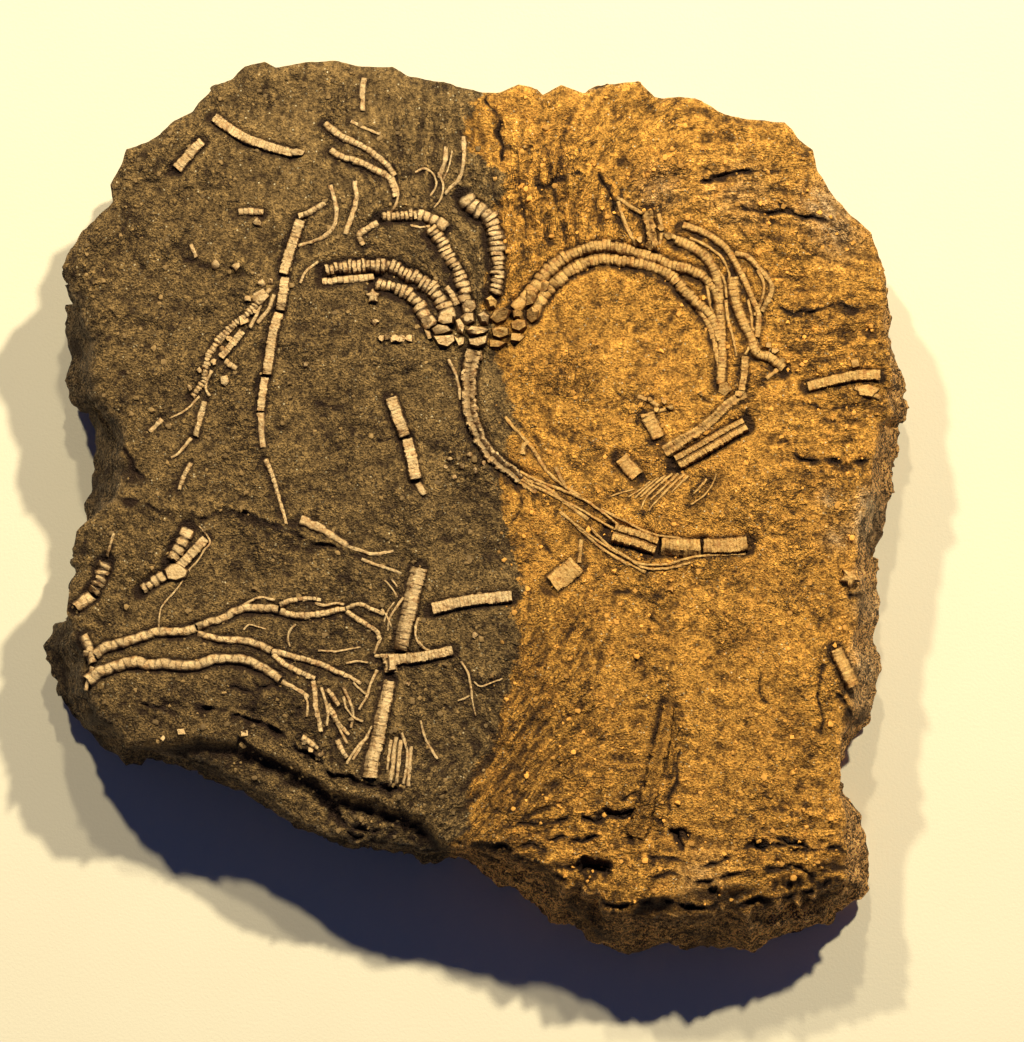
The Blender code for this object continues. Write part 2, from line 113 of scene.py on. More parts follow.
# Which way the stone's grain runs: short strokes read off the face, from u, v to u, v.
FLOW = [
    (150, 200, 190, 150), (120, 300, 160, 250), (230, 200, 240, 120), (330, 170, 340, 90),
    (420, 180, 425, 100), (200, 330, 230, 300), (150, 420, 190, 380), (300, 450, 340, 430),
    (380, 360, 420, 340), (460, 420, 440, 500), (480, 190, 478, 120), (505, 150, 507, 100),
    (525, 250, 515, 130), (545, 280, 532, 210), (560, 250, 552, 140), (575, 190, 600, 130),
    (590, 140, 618, 95), (585, 270, 572, 215), (620, 150, 660, 115), (650, 170, 700, 140),
    (700, 180, 770, 168), (735, 205, 812, 216), (690, 120, 760, 140), (790, 215, 860, 260),
    (790, 315, 840, 303), (780, 350, 850, 345), (640, 300, 600, 360), (560, 340, 545, 400),
    (620, 400, 660, 380), (560, 440, 600, 460), (500, 440, 560, 480), (760, 442, 845, 463),
    (800, 500, 860, 480), (700, 480, 740, 500), (780, 560, 840, 600), (700, 620, 780, 660),
    (640, 560, 700, 590), (600, 600, 575, 660), (530, 680, 560, 610), (545, 740, 590, 690),
    (490, 830, 530, 760), (480, 790, 515, 745), (440, 700, 500, 760), (430, 620, 470, 680),
    (500, 830, 570, 822), (560, 850, 640, 826), (690, 700, 760, 740), (720, 790, 800, 820),
    (700, 860, 820, 845), (620, 760, 680, 770), (350, 500, 420, 540), (440, 540, 490, 560),
    (240, 520, 320, 545), (120, 520, 180, 560), (110, 700, 180, 740), (250, 700, 330, 720),
    (330, 262, 385, 268), (400, 272, 432, 296), (440, 300, 450, 325), (432, 232, 452, 268),
    (456, 270, 466, 300), (380, 290, 415, 305), (470, 200, 492, 226), (496, 240, 498, 290),
    (345, 140, 390, 172), (340, 200, 330, 235), (400, 150, 405, 200), (380, 240, 430, 262),
    (280, 780, 330, 820), (400, 820, 450, 790), (330, 600, 390, 640), (200, 600, 260, 590),
]
FLOW_REACH = 34.0  # how far one stroke sets the grain around it, in steps

# How strongly the stone is drawn into strands: middle, radius in steps, height in millimetres.
STRANDS = [
    (400, 275, 45, 0.30), (450, 270, 40, 0.30), (360, 190, 45, 0.20), (430, 210, 40, 0.22),
    (420, 130, 50, 0.16),
    (520, 205, 42, 0.55), (560, 225, 50, 0.60), (590, 130, 50, 0.16), (700, 160, 60, 0.22),
    (790, 200, 50, 0.22), (825, 330, 60, 0.30), (530, 720, 45, 0.34), (500, 800, 50, 0.40),
    (570, 640, 45, 0.18), (560, 840, 60, 0.26), (790, 860, 60, 0.26), (660, 780, 60, 0.14),
    (420, 820, 60, 0.25), (150, 730, 70, 0.18), (800, 470, 50, 0.16), (300, 540, 60, 0.14),
    (540, 470, 50, 0.16), (90, 640, 30, 0.16),
]
STRAND_BASE = 0.07

# Cracks: the line, its width in steps and its depth in millimetres.
CRACKS = [
    ([(598, 812), (610, 818), (622, 821), (636, 817)], 3.4, 0.8),
    ([(618, 803), (628, 797), (640, 794)], 1.8, 0.3),
    ([(664, 832), (672, 836), (680, 842), (686, 847)], 3.6, 1.0),
    ([(660, 708), (656, 728), (651, 748)], 3.2, 0.35),
    ([(679, 748), (676, 770), (671, 795), (669, 818)], 1.4, 0.25),
    ([(574, 872), (585, 866), (600, 867), (611, 873)], 6.0, 1.8),
    ([(600, 172), (607, 188), (614, 206), (622, 224), (632, 244)], 2.6, 0.7),
    ([(626, 206), (636, 212), (644, 218), (647, 232), (644, 244)], 2.6, 0.7),
    ([(632, 247), (642, 251), (654, 253), (662, 250)], 3.0, 0.9),
    ([(484, 92), (493, 107), (498, 122), (502, 140), (504, 168)], 2.0, 0.5),
    ([(505, 470), (520, 500), (508, 530)], 2.0, 0.25),
    ([(297, 408), (318, 407), (340, 410), (352, 440), (376, 442), (400, 442)], 1.8, 0.22),
    ([(117, 535), (112, 547), (107, 559)], 2.2, 0.5),
    ([(700, 180), (720, 175), (740, 170), (768, 168)], 2.4, 0.55),
    ([(735, 200), (760, 207), (790, 212), (810, 216), (825, 216)], 2.6, 0.7),
    ([(780, 200), (788, 205), (795, 212)], 2.0, 0.5),
    ([(790, 315), (815, 311), (835, 303)], 2.6, 0.6),
    ([(760, 442), (775, 452), (790, 443)], 2.0, 0.4),
    ([(795, 450), (802, 460), (820, 460), (845, 463)], 2.4, 0.55),
    ([(580, 816), (600, 820), (620, 816), (640, 812)], 3.2, 0.8),
    ([(545, 842), (560, 838), (580, 843), (600, 836)], 2.6, 0.6),
    ([(665, 838), (678, 831), (690, 840)], 3.4, 0.9),
    ([(752, 840), (762, 848), (770, 850)], 2.2, 0.7),
    ([(770, 835), (785, 845), (800, 843), (820, 848), (842, 846)], 2.6, 0.8),
    ([(780, 868), (800, 870), (812, 880)], 2.6, 0.8),
    ([(708, 885), (713, 890), (718, 887)], 2.6, 0.7),
    ([(822, 660), (819, 690), (824, 715), (822, 740)], 1.4, 0.25),
    ([(757, 673), (761, 690), (768, 707)], 1.3, 0.22),
    ([(768, 707), (762, 703)], 1.6, 0.35),
    ([(120, 755), (135, 750), (150, 752), (165, 756), (180, 757)], 2.4, 0.6),
    ([(500, 830), (520, 824), (545, 826), (570, 820)], 2.0, 0.4),
    ([(505, 850), (530, 846), (550, 852)], 2.0, 0.4),
    ([(845, 598), (860, 597), (880, 600)], 2.2, 0.8),
    ([(848, 697), (862, 699), (878, 696)], 2.4, 0.9),
    ([(530, 190), (545, 181), (560, 176), (590, 175)], 2.2, 0.45),
    ([(560, 520), (545, 540), (552, 560)], 1.6, 0.18),
    ([(620, 400), (640, 396), (655, 401)], 1.6, 0.18),
    ([(225, 690), (250, 694), (275, 688), (300, 700)], 2.0, 0.35),
    ([(240, 655), (262, 690), (250, 720)], 1.8, 0.2),
]

# Ledges: the ground drops below the line, when the line runs to the right. The reach of the
# hollow under it in steps and the drop in millimetres.
LEDGES = [
    ([(585, 893), (615, 905), (650, 898), (690, 905), (720, 903)], 9.0, 1.8),
    ([(730, 905), (765, 898), (800, 893), (835, 876)], 9.0, 1.6),
    ([(640, 862), (670, 858), (705, 864), (735, 856)], 7.0, 0.6),
    ([(100, 497), (127, 500), (165, 510), (200, 518), (242, 513), (287, 531), (322, 546),
      (380, 559)], 26.0, 0.75),
    ([(180, 700), (215, 708), (240, 718), (290, 738), (305, 752), (335, 775), (370, 782),
      (420, 800)], 14.0, 1.3),
    ([(215, 730), (242, 741), (278, 760), (300, 773), (328, 791), (344, 817), (360, 835),
      (390, 842)], 16.0, 1.2),
    ([(300, 788), (330, 800), (352, 822), (372, 830), (400, 822), (432, 835)], 9.0, 0.8),
    ([(455, 843), (480, 842), (500, 846), (522, 858), (548, 872), (572, 882)], 12.0, 1.1),
    ([(560, 868), (580, 858), (600, 866), (612, 880)], 12.0, 1.6),
    ([(640, 880), (665, 872), (700, 880), (735, 876), (765, 868), (800, 872)], 12.0, 1.0),
    ([(740, 846), (765, 842), (790, 850), (815, 846), (850, 850)], 9.0, 0.8),
    ([(590, 812), (612, 818), (640, 812), (668, 822)], 12.0, 0.55),
    ([(530, 188), (548, 180), (575, 174), (598, 178)], 10.0, 0.45),
    ([(700, 178), (735, 170), (770, 168), (800, 172)], 12.0, 0.5),
    ([(735, 202), (765, 208), (800, 214), (835, 216)], 14.0, 0.7),
    ([(775, 300), (790, 315), (815, 311), (838, 303), (865, 310)], 13.0, 0.55),
    ([(790, 452), (815, 460), (848, 464), (872, 458)], 12.0, 0.6),
    ([(800, 402), (830, 410), (865, 404)], 10.0, 0.45),
    ([(120, 700), (150, 708), (185, 704)], 10.0, 0.5),
    ([(92, 400), (108, 418), (125, 450), (150, 488)], 9.0, 1.0),
    ([(380, 668), (390, 674), (398, 668)], 7.0, 0.8),
    ([(700, 560), (730, 560), (752, 553)], 9.0, 0.3),
    ([(660, 712), (655, 770), (640, 830)], 9.0, 0.35),
    ([(170, 238), (190, 262), (222, 270), (245, 262)], 12.0, 0.35),
    ([(610, 590), (640, 600), (665, 596)], 10.0, 0.25),
    ([(700, 400), (740, 412), (775, 404)], 10.0, 0.22),
    ([(560, 330), (580, 350), (610, 352)], 10.0, 0.15),
    ([(835, 690), (850, 712), (870, 722)], 12.0, 1.2),
]

# Ridges: the line, width in steps, height in millimetres.
RIDGES = [
    ([(127, 498), (200, 516), (242, 511), (287, 529), (322, 543), (380, 556)], 5.0, 0.35),
    ([(262, 525), (280, 533), (300, 540), (320, 546), (345, 552), (365, 565)], 4.0, 0.45),
    ([(606, 175), (616, 200), (624, 225), (636, 244), (650, 248)], 5.0, 0.9),
    ([(512, 110), (516, 150), (510, 190), (518, 240), (512, 290)], 4.0, 0.45),
    ([(530, 110), (536, 150), (532, 190), (541, 240), (534, 285)], 4.0, 0.4),
    ([(548, 115), (552, 160), (550, 200), (560, 245)], 4.0, 0.35),
    ([(668, 704), (662, 745), (654, 785), (642, 825), (628, 866)], 10.0, 1.1),
    ([(636, 872), (648, 878), (660, 872)], 6.0, 0.5),
    ([(517, 418), (530, 435), (545, 455), (558, 470)], 3.0, -0.35),
    ([(800, 200), (840, 260), (846, 330)], 6.0, 0.3),
    ([(480, 700), (505, 740), (520, 700)], 4.0, 0.3),
    ([(470, 790), (500, 765), (520, 735)], 4.0, 0.35),
    ([(462, 815), (492, 798), (530, 765), (556, 735)], 4.0, 0.35),
    ([(212, 262), (226, 258), (240, 264), (246, 273)], 5.0, 0.35),
    ([(490, 700), (540, 640), (580, 590)], 4.0, 0.22),
    ([(520, 700), (560, 650), (600, 600)], 4.0, 0.2),
]

FACE_FROM, FACE_SPAN = (60.0, 62.0), (840.0, 885.0)  # where chips and grit are strewn
CHIP_COUNT = 520
PITS = ((7.0, 0.16, 0.34, 80), (4.2, 0.14, 0.26, 90))  # size in steps, share, depth in mm, seed

# The painted shade and the cleared stone beside the fossils, and the painted shade in breaks, in steps.
SHADED_ASIDE = (3.2, -2.4)  # from the middle of the painted shade beside a fossil to the fossil
SHADOW_REACH, CLEARING_REACH, SHADOW_MARGIN = 3.8, 3.2, 12.0
UNDER_LEDGE, OVER_LEDGE = 3.4, 1.2

# Low places and swells: middle, radius in steps, height in millimetres.
SWELLS = [
    (592, 875, 14, -2.0),
    (612, 372, 70, -0.7), (560, 300, 40, 0.3), (470, 335, 36, 0.5), (180, 330, 90, 0.5),
    (350, 150, 80, 0.4), (600, 900, 22, -1.6), (585, 875, 14, -1.0), (330, 730, 40, 0.7),
    (300, 690, 30, 0.5), (135, 475, 16, -1.4), (866, 548, 8, -2.0), (855, 725, 12, -1.6),
    (700, 690, 80, 0.4), (800, 250, 60, 0.4), (225, 268, 9, -0.5), (383, 662, 7, -0.8),
    (660, 790, 14, 0.4), (440, 740, 60, -0.4), (640, 560, 60, 0.3), (230, 600, 60, 0.3),
]

# Where the stone is rough and broken: middle, radius in steps, height in millimetres.
BROKEN = [
    (390, 815, 50, 0.75), (330, 760, 36, 0.5), (310, 710, 34, 0.4), (800, 870, 55, 0.5),
    (600, 890, 40, 0.6), (830, 370, 60, 0.30), (560, 850, 50, 0.3), (470, 465, 20, 0.3),
    (90, 690, 26, 0.5), (140, 160, 40, 0.30), (100, 300, 45, 0.35), (850, 470, 36, 0.4),
    (740, 200, 60, 0.2), (520, 190, 70, 0.2), (630, 225, 24, 0.3), (690, 600, 60, 0.12),
    (340, 560, 50, 0.15), (260, 310, 26, 0.25),
]
BROKEN_BASE = 0.11

# Pale grey places on the ochre side: u, v, radius, strength.
GREY = [
    (872, 505, 14, 0.9), (866, 530, 14, 0.8), (872, 600, 18, 0.6), (868, 665, 18, 0.7),
    (864, 700, 14, 0.5), (828, 500, 10, 0.4), (835, 540, 12, 0.35), (822, 205, 22, 0.45),
    (840, 235, 22, 0.35), (742, 196, 34, 0.18), (660, 190, 20, 0.25), (700, 880, 26, 0.2),
]

# Where the stone is smoother than elsewhere: u, v, radius, strength.
CALM = [
    (330, 110, 95, 0.9), (410, 150, 60, 0.6), (250, 200, 60, 0.4), (620, 370, 70, 0.35),
    (600, 110, 60, 0.5), (690, 140, 60, 0.5), (800, 430, 60, 0.3), (845, 260, 40, 0.4),
]

# Rough lumps of stone left on the face: u, v, radius in steps.
LUMPS = [
    (304, 706, 6), (312, 718, 5), (300, 726, 7), (318, 742, 6), (332, 738, 5), (346, 750, 7),
    (338, 724, 5), (326, 716, 4), (350, 770, 6), (364, 764, 5), (294, 742, 7), (310, 752, 5),
    (342, 706, 4), (356, 736, 5), (222, 268, 9), (238, 262, 7), (250, 271, 5), (262, 299, 6),
    (254, 306, 5), (246, 314, 6), (268, 290, 5), (240, 328, 4), (330, 696, 4), (285, 712, 5),
    (200, 376, 4), (190, 388, 4), (118, 160, 7), (132, 152, 6), (150, 148, 5), (240, 214, 6),
    (250, 222, 5), (440, 470, 6), (455, 466, 5), (468, 470, 6), (480, 462, 5), (492, 330, 4),
    (404, 800, 7), (420, 812, 8), (388, 806, 6), (372, 796, 5), (440, 826, 6), (400, 828, 6),
    (356, 812, 6), (660, 220, 6), (640, 226, 5), (628, 212, 4), (596, 884, 6), (578, 874, 6),
    (620, 878, 6), (770, 352, 5), (780, 356, 5), (700, 392, 5), (736, 388, 5), (812, 356, 6),
    (840, 350, 5), (860, 340, 6), (822, 384, 5), (870, 420, 5), (452, 152, 5), (468, 132, 4),
    (384, 196, 4), (372, 204, 4), (392, 206, 4), (398, 214, 4), (500, 300, 4), (512, 292, 4),
    (118, 640, 4), (88, 650, 5), (92, 690, 5), (108, 700, 5), (134, 704, 5), (92, 560, 4),
]

# The line between the brown stone on the left and the ochre stone on the right, from the top.
COLOUR_LINE = [
    (486, 60), (484, 92), (466, 100), (464, 130), (470, 150), (492, 166), (503, 175),
    (497, 190), (490, 300),
    (498, 345), (503, 380), (512, 420), (505, 460), (500, 490), (510, 530), (518, 560),
    (525, 580), (520, 620), (518, 650), (508, 690), (492, 740), (478, 780), (462, 820),
    (455, 850), (455, 960),
]

COLOUR_BLEND = 15.0  # steps over which one stone turns into the other

# Lighter and darker areas: middle, radius in steps, how much of its brightness is added. That at (700,
# 938) darkens the lower wall as painted shade, and that at (300, 800) lightens the low terrace under
# the ledges as painted light.
TONES = [
    (300, 300, 60, -0.05), (180, 560, 60, -0.06), (330, 640, 60, -0.10), (430, 600, 50, -0.06),
    (656, 730, 12, -0.30), (650, 770, 12, -0.22), (642, 810, 12, -0.15), (626, 862, 14, 0.12),
    (545, 610, 26, -0.18), (540, 660, 30, -0.22), (530, 720, 34, -0.20), (505, 790, 34, -0.18),
    (520, 860, 40, -0.16), (740, 540, 30, -0.06), (590, 300, 50, -0.05), (560, 350, 40, -0.06),
    (480, 130, 18, -0.30), (476, 322, 34, -0.30), (700, 938, 60, -0.35), (600, 930, 40, -0.3),
    (350, 95, 95, 0.14), (210, 240, 80, 0.02), (260, 710, 70, -0.32), (150, 712, 45, -0.16),
    (720, 140, 80, 0.16), (620, 370, 80, 0.08), (600, 700, 60, -0.10), (525, 775, 50, -0.22),
    (100, 620, 40, -0.12), (420, 830, 50, -0.12), (490, 640, 22, -0.18), (560, 235, 50, 0.05),
    (545, 130, 55, 0.22), (815, 460, 60, 0.10), (830, 690, 50, 0.04), (770, 600, 80, 0.06),
    (300, 800, 40, 0.36), (420, 262, 26, -0.18),
]


def plan_x(u):
    return (u - PLAN_CENTRE[0]) * PLAN_STEP


def plan_y(v):
    return (PLAN_CENTRE[1] - v) * PLAN_STEP


def smooth_step(t):
    t = np.clip(t, 0.0, 1.0)
    return t * t * (3.0 - 2.0 * t)


def bell(t):
    """1 at the middle, and nearly nothing past 2."""
    return np.exp(-(t**2))


# ---------------------------------------------------------------- noise over arrays
def hashed(ix, iy, seed=0):
    """A number from 0 to 1 for each lattice point."""
    ix = np.asarray(ix, dtype=np.int64)
    iy = np.asarray(iy, dtype=np.int64)
    n = (ix * 374761393 + iy * 668265263 + seed * 974711) & 0xFFFFFFFF
    n = ((n ^ (n >> 13)) * 1274126177) & 0xFFFFFFFF
    n = ((n ^ (n >> 16)) * 2246822519) & 0xFFFFFFFF
    return (n ^ (n >> 15)).astype(float) / 4294967296.0


def grain(x, y, seed=0):
    """Gradient noise, about -0.7 to 0.7, with features one unit across."""
    x0, y0 = np.floor(x), np.floor(y)
    fx, fy = x - x0, y - y0

    def corner(cx, cy):
        angle = hashed(x0 + cx, y0 + cy, seed) * 2.0 * math.pi
        return np.cos(angle) * (fx - cx) + np.sin(angle) * (fy - cy)

    wx = fx * fx * fx * (fx * (fx * 6.0 - 15.0) + 10.0)
    wy = fy * fy * fy * (fy * (fy * 6.0 - 15.0) + 10.0)
    top = corner(0, 0) * (1 - wx) + corner(1, 0) * wx
    low = corner(0, 1) * (1 - wx) + corner(1, 1) * wx
    return top * (1 - wy) + low * wy


def rough(x, y, octaves, seed=0):
    total = 0.0
    for k in range(octaves):
        total = total + grain(x * 2.0**k, y * 2.0**k, seed + 17 * k) * 0.5**k
    return total


# ---------------------------------------------------------------- the map of the face
MAP_U, MAP_V = np.meshgrid(
    MAP_ORIGIN[0] + MAP_STEP * np.arange(MAP_SIZE[0]),
    MAP_ORIGIN[1] + MAP_STEP * np.arange(MAP_SIZE[1]),
)


def read_map(field, u, v):
    """A map's values at any points, evenly between its own."""
    x = np.clip((u - MAP_ORIGIN[0]) / MAP_STEP, 0, MAP_SIZE[0] - 1.001)
    y = np.clip((v - MAP_ORIGIN[1]) / MAP_STEP, 0, MAP_SIZE[1] - 1.001)
    ix, iy = x.astype(int), y.astype(int)
    fx, fy = x - ix, y - iy
    top = field[iy, ix] * (1 - fx) + field[iy, ix + 1] * fx
    low = field[iy + 1, ix] * (1 - fx) + field[iy + 1, ix + 1] * fx
    return top * (1 - fy) + low * fy


def blur(field, radius):
    """A map evened out over a radius in steps."""
    pad = int(3 * radius / MAP_STEP) + 2
    wide = np.pad(field, pad, mode="edge")
    fy = np.fft.fftfreq(wide.shape[0])[:, None]
    fx = np.fft.rfftfreq(wide.shape[1])[None, :]
    keep = np.exp(-2.0 * (math.pi * radius / MAP_STEP) ** 2 * (fx * fx + fy * fy))
    return np.fft.irfft2(np.fft.rfft2(wide) * keep, s=wide.shape)[pad:-pad, pad:-pad]


def distance_to(line, u, v):
    """For each point: distance to a line, which side it is on, and how far along it is, 0 to 1."""
    best = np.full(u.shape, 1e9)
    side = np.zeros(u.shape)
    along = np.zeros(u.shape)
    lengths = [math.dist(a, b) for a, b in zip(line, line[1:])]
    total, before = sum(lengths), 0.0
    for (a, b), length in zip(zip(line, line[1:]), lengths):
        du, dv = (b[0] - a[0]) / length, (b[1] - a[1]) / length
        pu, pv = u - a[0], v - a[1]
        t = np.clip(pu * du + pv * dv, 0.0, length)
        d = np.hypot(pu - t * du, pv - t * dv)
        closer = d < best
        best = np.where(closer, d, best)
        side = np.where(closer, np.sign(pv * du - pu * dv), side)
        along = np.where(closer, (before + t) / total, along)
        before += length
    return best, side, along


def window(line, reach):
    """The part of the map within reach of a line, as slices."""
    us, vs = [p[0] for p in line], [p[1] for p in line]
    x0 = max(0, int((min(us) - reach - MAP_ORIGIN[0]) / MAP_STEP))
    x1 = min(MAP_SIZE[0], int((max(us) + reach - MAP_ORIGIN[0]) / MAP_STEP) + 2)
    y0 = max(0, int((min(vs) - reach - MAP_ORIGIN[1]) / MAP_STEP))
    y1 = min(MAP_SIZE[1], int((max(vs) + reach - MAP_ORIGIN[1]) / MAP_STEP) + 2)
    return slice(y0, y1), slice(x0, x1)


def height_on(line, u):
    return np.interp(u, [p[0] for p in line], [p[1] for p in line], left=1e6, right=1e6)


def large_relief():
    """The face as in the solid, in metres."""
    across, along = (MAP_U - 470.0) / 430.0, (MAP_V - 490.0) / 440.0
    height = SLAB_THICKNESS + FACE_CROWN * np.maximum(0.0, 1.0 - across**2 - along**2)
    below_terrace = (MAP_V - height_on(LOW_TERRACE_LIMIT, MAP_U)) / BREAK_WIDTH
    below_corner = (MAP_V - height_on(CORNER_LIMIT, MAP_U)) / BREAK_WIDTH
    height -= LOW_TERRACE * smooth_step(below_terrace)
    height -= CORNER_STEP * smooth_step(below_corner)
    waves = [noise.noise((u / 60.0, v / 60.0, 0.3)) for u, v in zip(MAP_U.flat, MAP_V.flat)]
    return height + FACE_ROUGHNESS * np.array(waves).reshape(MAP_U.shape)


def flow_angle():
    """Direction of the grain over the map, in radians, from the strokes."""
    cos2, sin2 = np.zeros(MAP_U.shape), np.zeros(MAP_U.shape)
    for u0, v0, u1, v1 in FLOW:
        angle = 2.0 * math.atan2(v1 - v0, u1 - u0)
        middle_u, middle_v = 0.5 * (u0 + u1), 0.5 * (v0 + v1)
        squared = (MAP_U - middle_u) ** 2 + (MAP_V - middle_v) ** 2
        weight = 1.0 / (squared + FLOW_REACH**2) ** 2
        cos2 += weight * math.cos(angle)
        sin2 += weight * math.sin(angle)
    return 0.5 * np.arctan2(sin2, cos2)


def smear(field, angle, reach):
    """A map averaged along the grain, which turns noise into strands."""
    total = field.copy()
    direction_u, direction_v = np.cos(angle), np.sin(angle)
    for way in (1.0, -1.0):
        u, v = MAP_U.copy(), MAP_V.copy()
        step_u, step_v = direction_u * way, direction_v * way
        for _ in range(reach):
            u, v = u + step_u * MAP_STEP, v + step_v * MAP_STEP
            x = np.clip(((u - MAP_ORIGIN[0]) / MAP_STEP + 0.5).astype(int), 0, MAP_SIZE[0] - 1)
            y = np.clip(((v - MAP_ORIGIN[1]) / MAP_STEP + 0.5).astype(int), 0, MAP_SIZE[1] - 1)
            total += field[y, x]
            next_u, next_v = direction_u[y, x], direction_v[y, x]
            turned = np.where(next_u * step_u + next_v * step_v < 0.0, -1.0, 1.0)
            step_u, step_v = next_u * turned, next_v * turned
    total -= blur(total, 9.0)
    return total / total.std()


def patch_at(u, v, radius):
    """A soft round patch over the map, 1 at its middle."""
    squared = (MAP_U - u) ** 2 + (MAP_V - v) ** 2
    return np.exp(-squared / radius**2)


def strength_of(places, base):
    """A map of base plus a soft round patch for each place."""
    field = np.full(MAP_U.shape, base)
    for u, v, radius, amount in places:
        field += amount * patch_at(u, v, radius)
    return field


def uneven(u, v):
    """How strongly a break shows from place to place, 0 to 1.3."""
    return np.clip(0.75 + 1.5 * rough(u / 20.0, v / 20.0, 2, 12), 0.1, 1.3)


def end_fade(along):
    """Falls to nothing at both ends of a line."""
    return smooth_step(np.minimum(along, 1.0 - along) / 0.12)


def waver(u, v):
    """How far the breaks of the stone stray from their lines, along u and along v."""
    aside_u = 7.0 * rough(u / 31.0, v / 31.0, 2, 5) + 2.4 * rough(u / 8.0, v / 8.0, 2, 7)
    aside_v = 7.0 * rough(u / 31.0, v / 31.0, 2, 6) + 2.4 * rough(u / 8.0, v / 8.0, 2, 8)
    return aside_u, aside_v


def add_lines(height):
    """Cuts the cracks and ledges and raises the ridges, with wavering edges."""
    aside_u, aside_v = waver(MAP_U, MAP_V)
    waver_u, waver_v = MAP_U + aside_u, MAP_V + aside_v
    for line, width, depth in CRACKS:
        part = window(line, 6.0 * width + 6.0)
        d, _, along = distance_to(line, waver_u[part], waver_v[part])
        fade = end_fade(along) * (0.4 + 0.6 * uneven(MAP_U[part], MAP_V[part]))
        height[part] -= depth * MM * bell(d / width) * fade
    for line, reach, drop in LEDGES:
        part = window(line, 4.0 * reach)
        d, side, along = distance_to(line, waver_u[part], waver_v[part])
        hollow = np.where(side > 0.0, np.exp(-d / reach) * smooth_step(d / 1.8), 0.0)
        lip = np.where(side <= 0.0, np.exp(-d / (0.5 * reach)), 0.0)
        fade = end_fade(along) * uneven(MAP_U[part], MAP_V[part])
        height[part] += drop * MM * fade * (0.25 * lip - 0.75 * hollow)
    for line, width, rise in RIDGES:
        part = window(line, 4.0 * width)
        d, _, along = distance_to(line, waver_u[part], waver_v[part])
        height[part] += rise * MM * bell(d / width) * end_fade(along)


def sharp_waves(size, seed):
    """Noise with sharp crests, from 0 to 1."""
    return 1.0 - np.clip(np.abs(rough(MAP_U / size, MAP_V / size, 3, seed)) * 2.6, 0.0, 1.0)


def fine_relief(angle):
    """Strands along the grain, broken places and general roughness, in metres."""
    strands = smear(hashed(MAP_U * 7.0, MAP_V * 13.0, 3), angle, 11)
    wide = smear(blur(hashed(MAP_U * 11.0, MAP_V * 5.0, 9), 2.6), angle, 16)
    height = strength_of(STRANDS, STRAND_BASE) * MM * (0.34 * strands + 0.60 * wide)
    flakes = sharp_waves(19.0, 40) - 0.5 + 0.5 * (sharp_waves(8.0, 50) - 0.5)
    height += strength_of(BROKEN, BROKEN_BASE) * MM * flakes
    height += 1.20 * MM * rough(MAP_U / 95.0, MAP_V / 95.0, 2, 66)
    height += 0.75 * MM * rough(MAP_U / 38.0, MAP_V / 38.0, 2, 60)
    height += 0.20 * MM * rough(MAP_U / 13.0, MAP_V / 13.0, 3, 70)
    return height


def add_swells(height):
    for u, v, radius, rise in SWELLS:
        height += rise * MM * patch_at(u, v, radius)


def add_lumps(height):
    """Rough lumps with steep sides."""
    aside_u, aside_v = waver(1.7 * MAP_U, 1.7 * MAP_V)
    for k, (u, v, radius) in enumerate(LUMPS):
        part = window([(u, v)], 2.2 * radius + 4.0)
        d = np.hypot(MAP_U[part] + aside_u[part] - u, MAP_V[part] + aside_v[part] - v)
        rise = 0.10 * radius * (0.6 + 0.8 * float(hashed(k, 2, 65)))
        height[part] += rise * MM * np.exp(-((d / radius) ** 3))


def add_chips(height, angle):
    """Short broken edges along the grain, where thin flakes have come off."""
    for k in range(CHIP_COUNT):
        draw = [float(hashed(k, number, 66)) for number in range(8)]
        u = FACE_FROM[0] + FACE_SPAN[0] * draw[1]
        v = FACE_FROM[1] + FACE_SPAN[1] * draw[2]
        x, y = int((u - MAP_ORIGIN[0]) / MAP_STEP), int((v - MAP_ORIGIN[1]) / MAP_STEP)
        turn = angle[y, x] + 1.1 * (draw[3] - 0.5)
        half = 4.0 + 11.0 * draw[4] ** 2
        du, dv = half * math.cos(turn), half * math.sin(turn)
        bend = 0.5 * (draw[5] - 0.5)
        line = [(u - du, v - dv), (u - bend * dv, v + bend * du), (u + du, v + dv)]
        reach = 3.0 + 4.0 * draw[6]
        part = window(line, 3.0 * reach)
        d, side, along = distance_to(line, MAP_U[part], MAP_V[part])
        drop = (0.12 + 0.34 * draw[7] ** 2) * MM
        fall = np.where(side > 0.0, np.exp(-d / reach) * smooth_step(d / 1.6), 0.0)
        height[part] -= drop * fall * end_fade(along)


def add_pits(height):
    """Small pits where grains have come out."""
    for size, share, depth, seed in PITS:
        cell_u, cell_v = np.floor(MAP_U / size), np.floor(MAP_V / size)
        centre_u = (cell_u + 0.3 + 0.4 * hashed(cell_u, cell_v, seed)) * size
        centre_v = (cell_v + 0.3 + 0.4 * hashed(cell_u, cell_v, seed + 1)) * size
        chosen = hashed(cell_u, cell_v, seed + 2) < share
        squared = (MAP_U - centre_u) ** 2 + (MAP_V - centre_v) ** 2
        pit = np.exp(-squared / (0.26 * size) ** 2)
        height -= np.where(chosen, depth * MM * pit, 0.0)


def face_map():
    """(height of the fine face, direction of its grain) over the map."""
    angle = flow_angle()
    height = large_relief()
    add_swells(height)
    add_lines(height)
    add_lumps(height)
    add_chips(height, angle)
    height += fine_relief(angle)
    add_pits(height)
    return height, angle


def all_runs():
    return list(RUNS.values()) + [run for group in LOOSE_RUNS.values() for run in group]


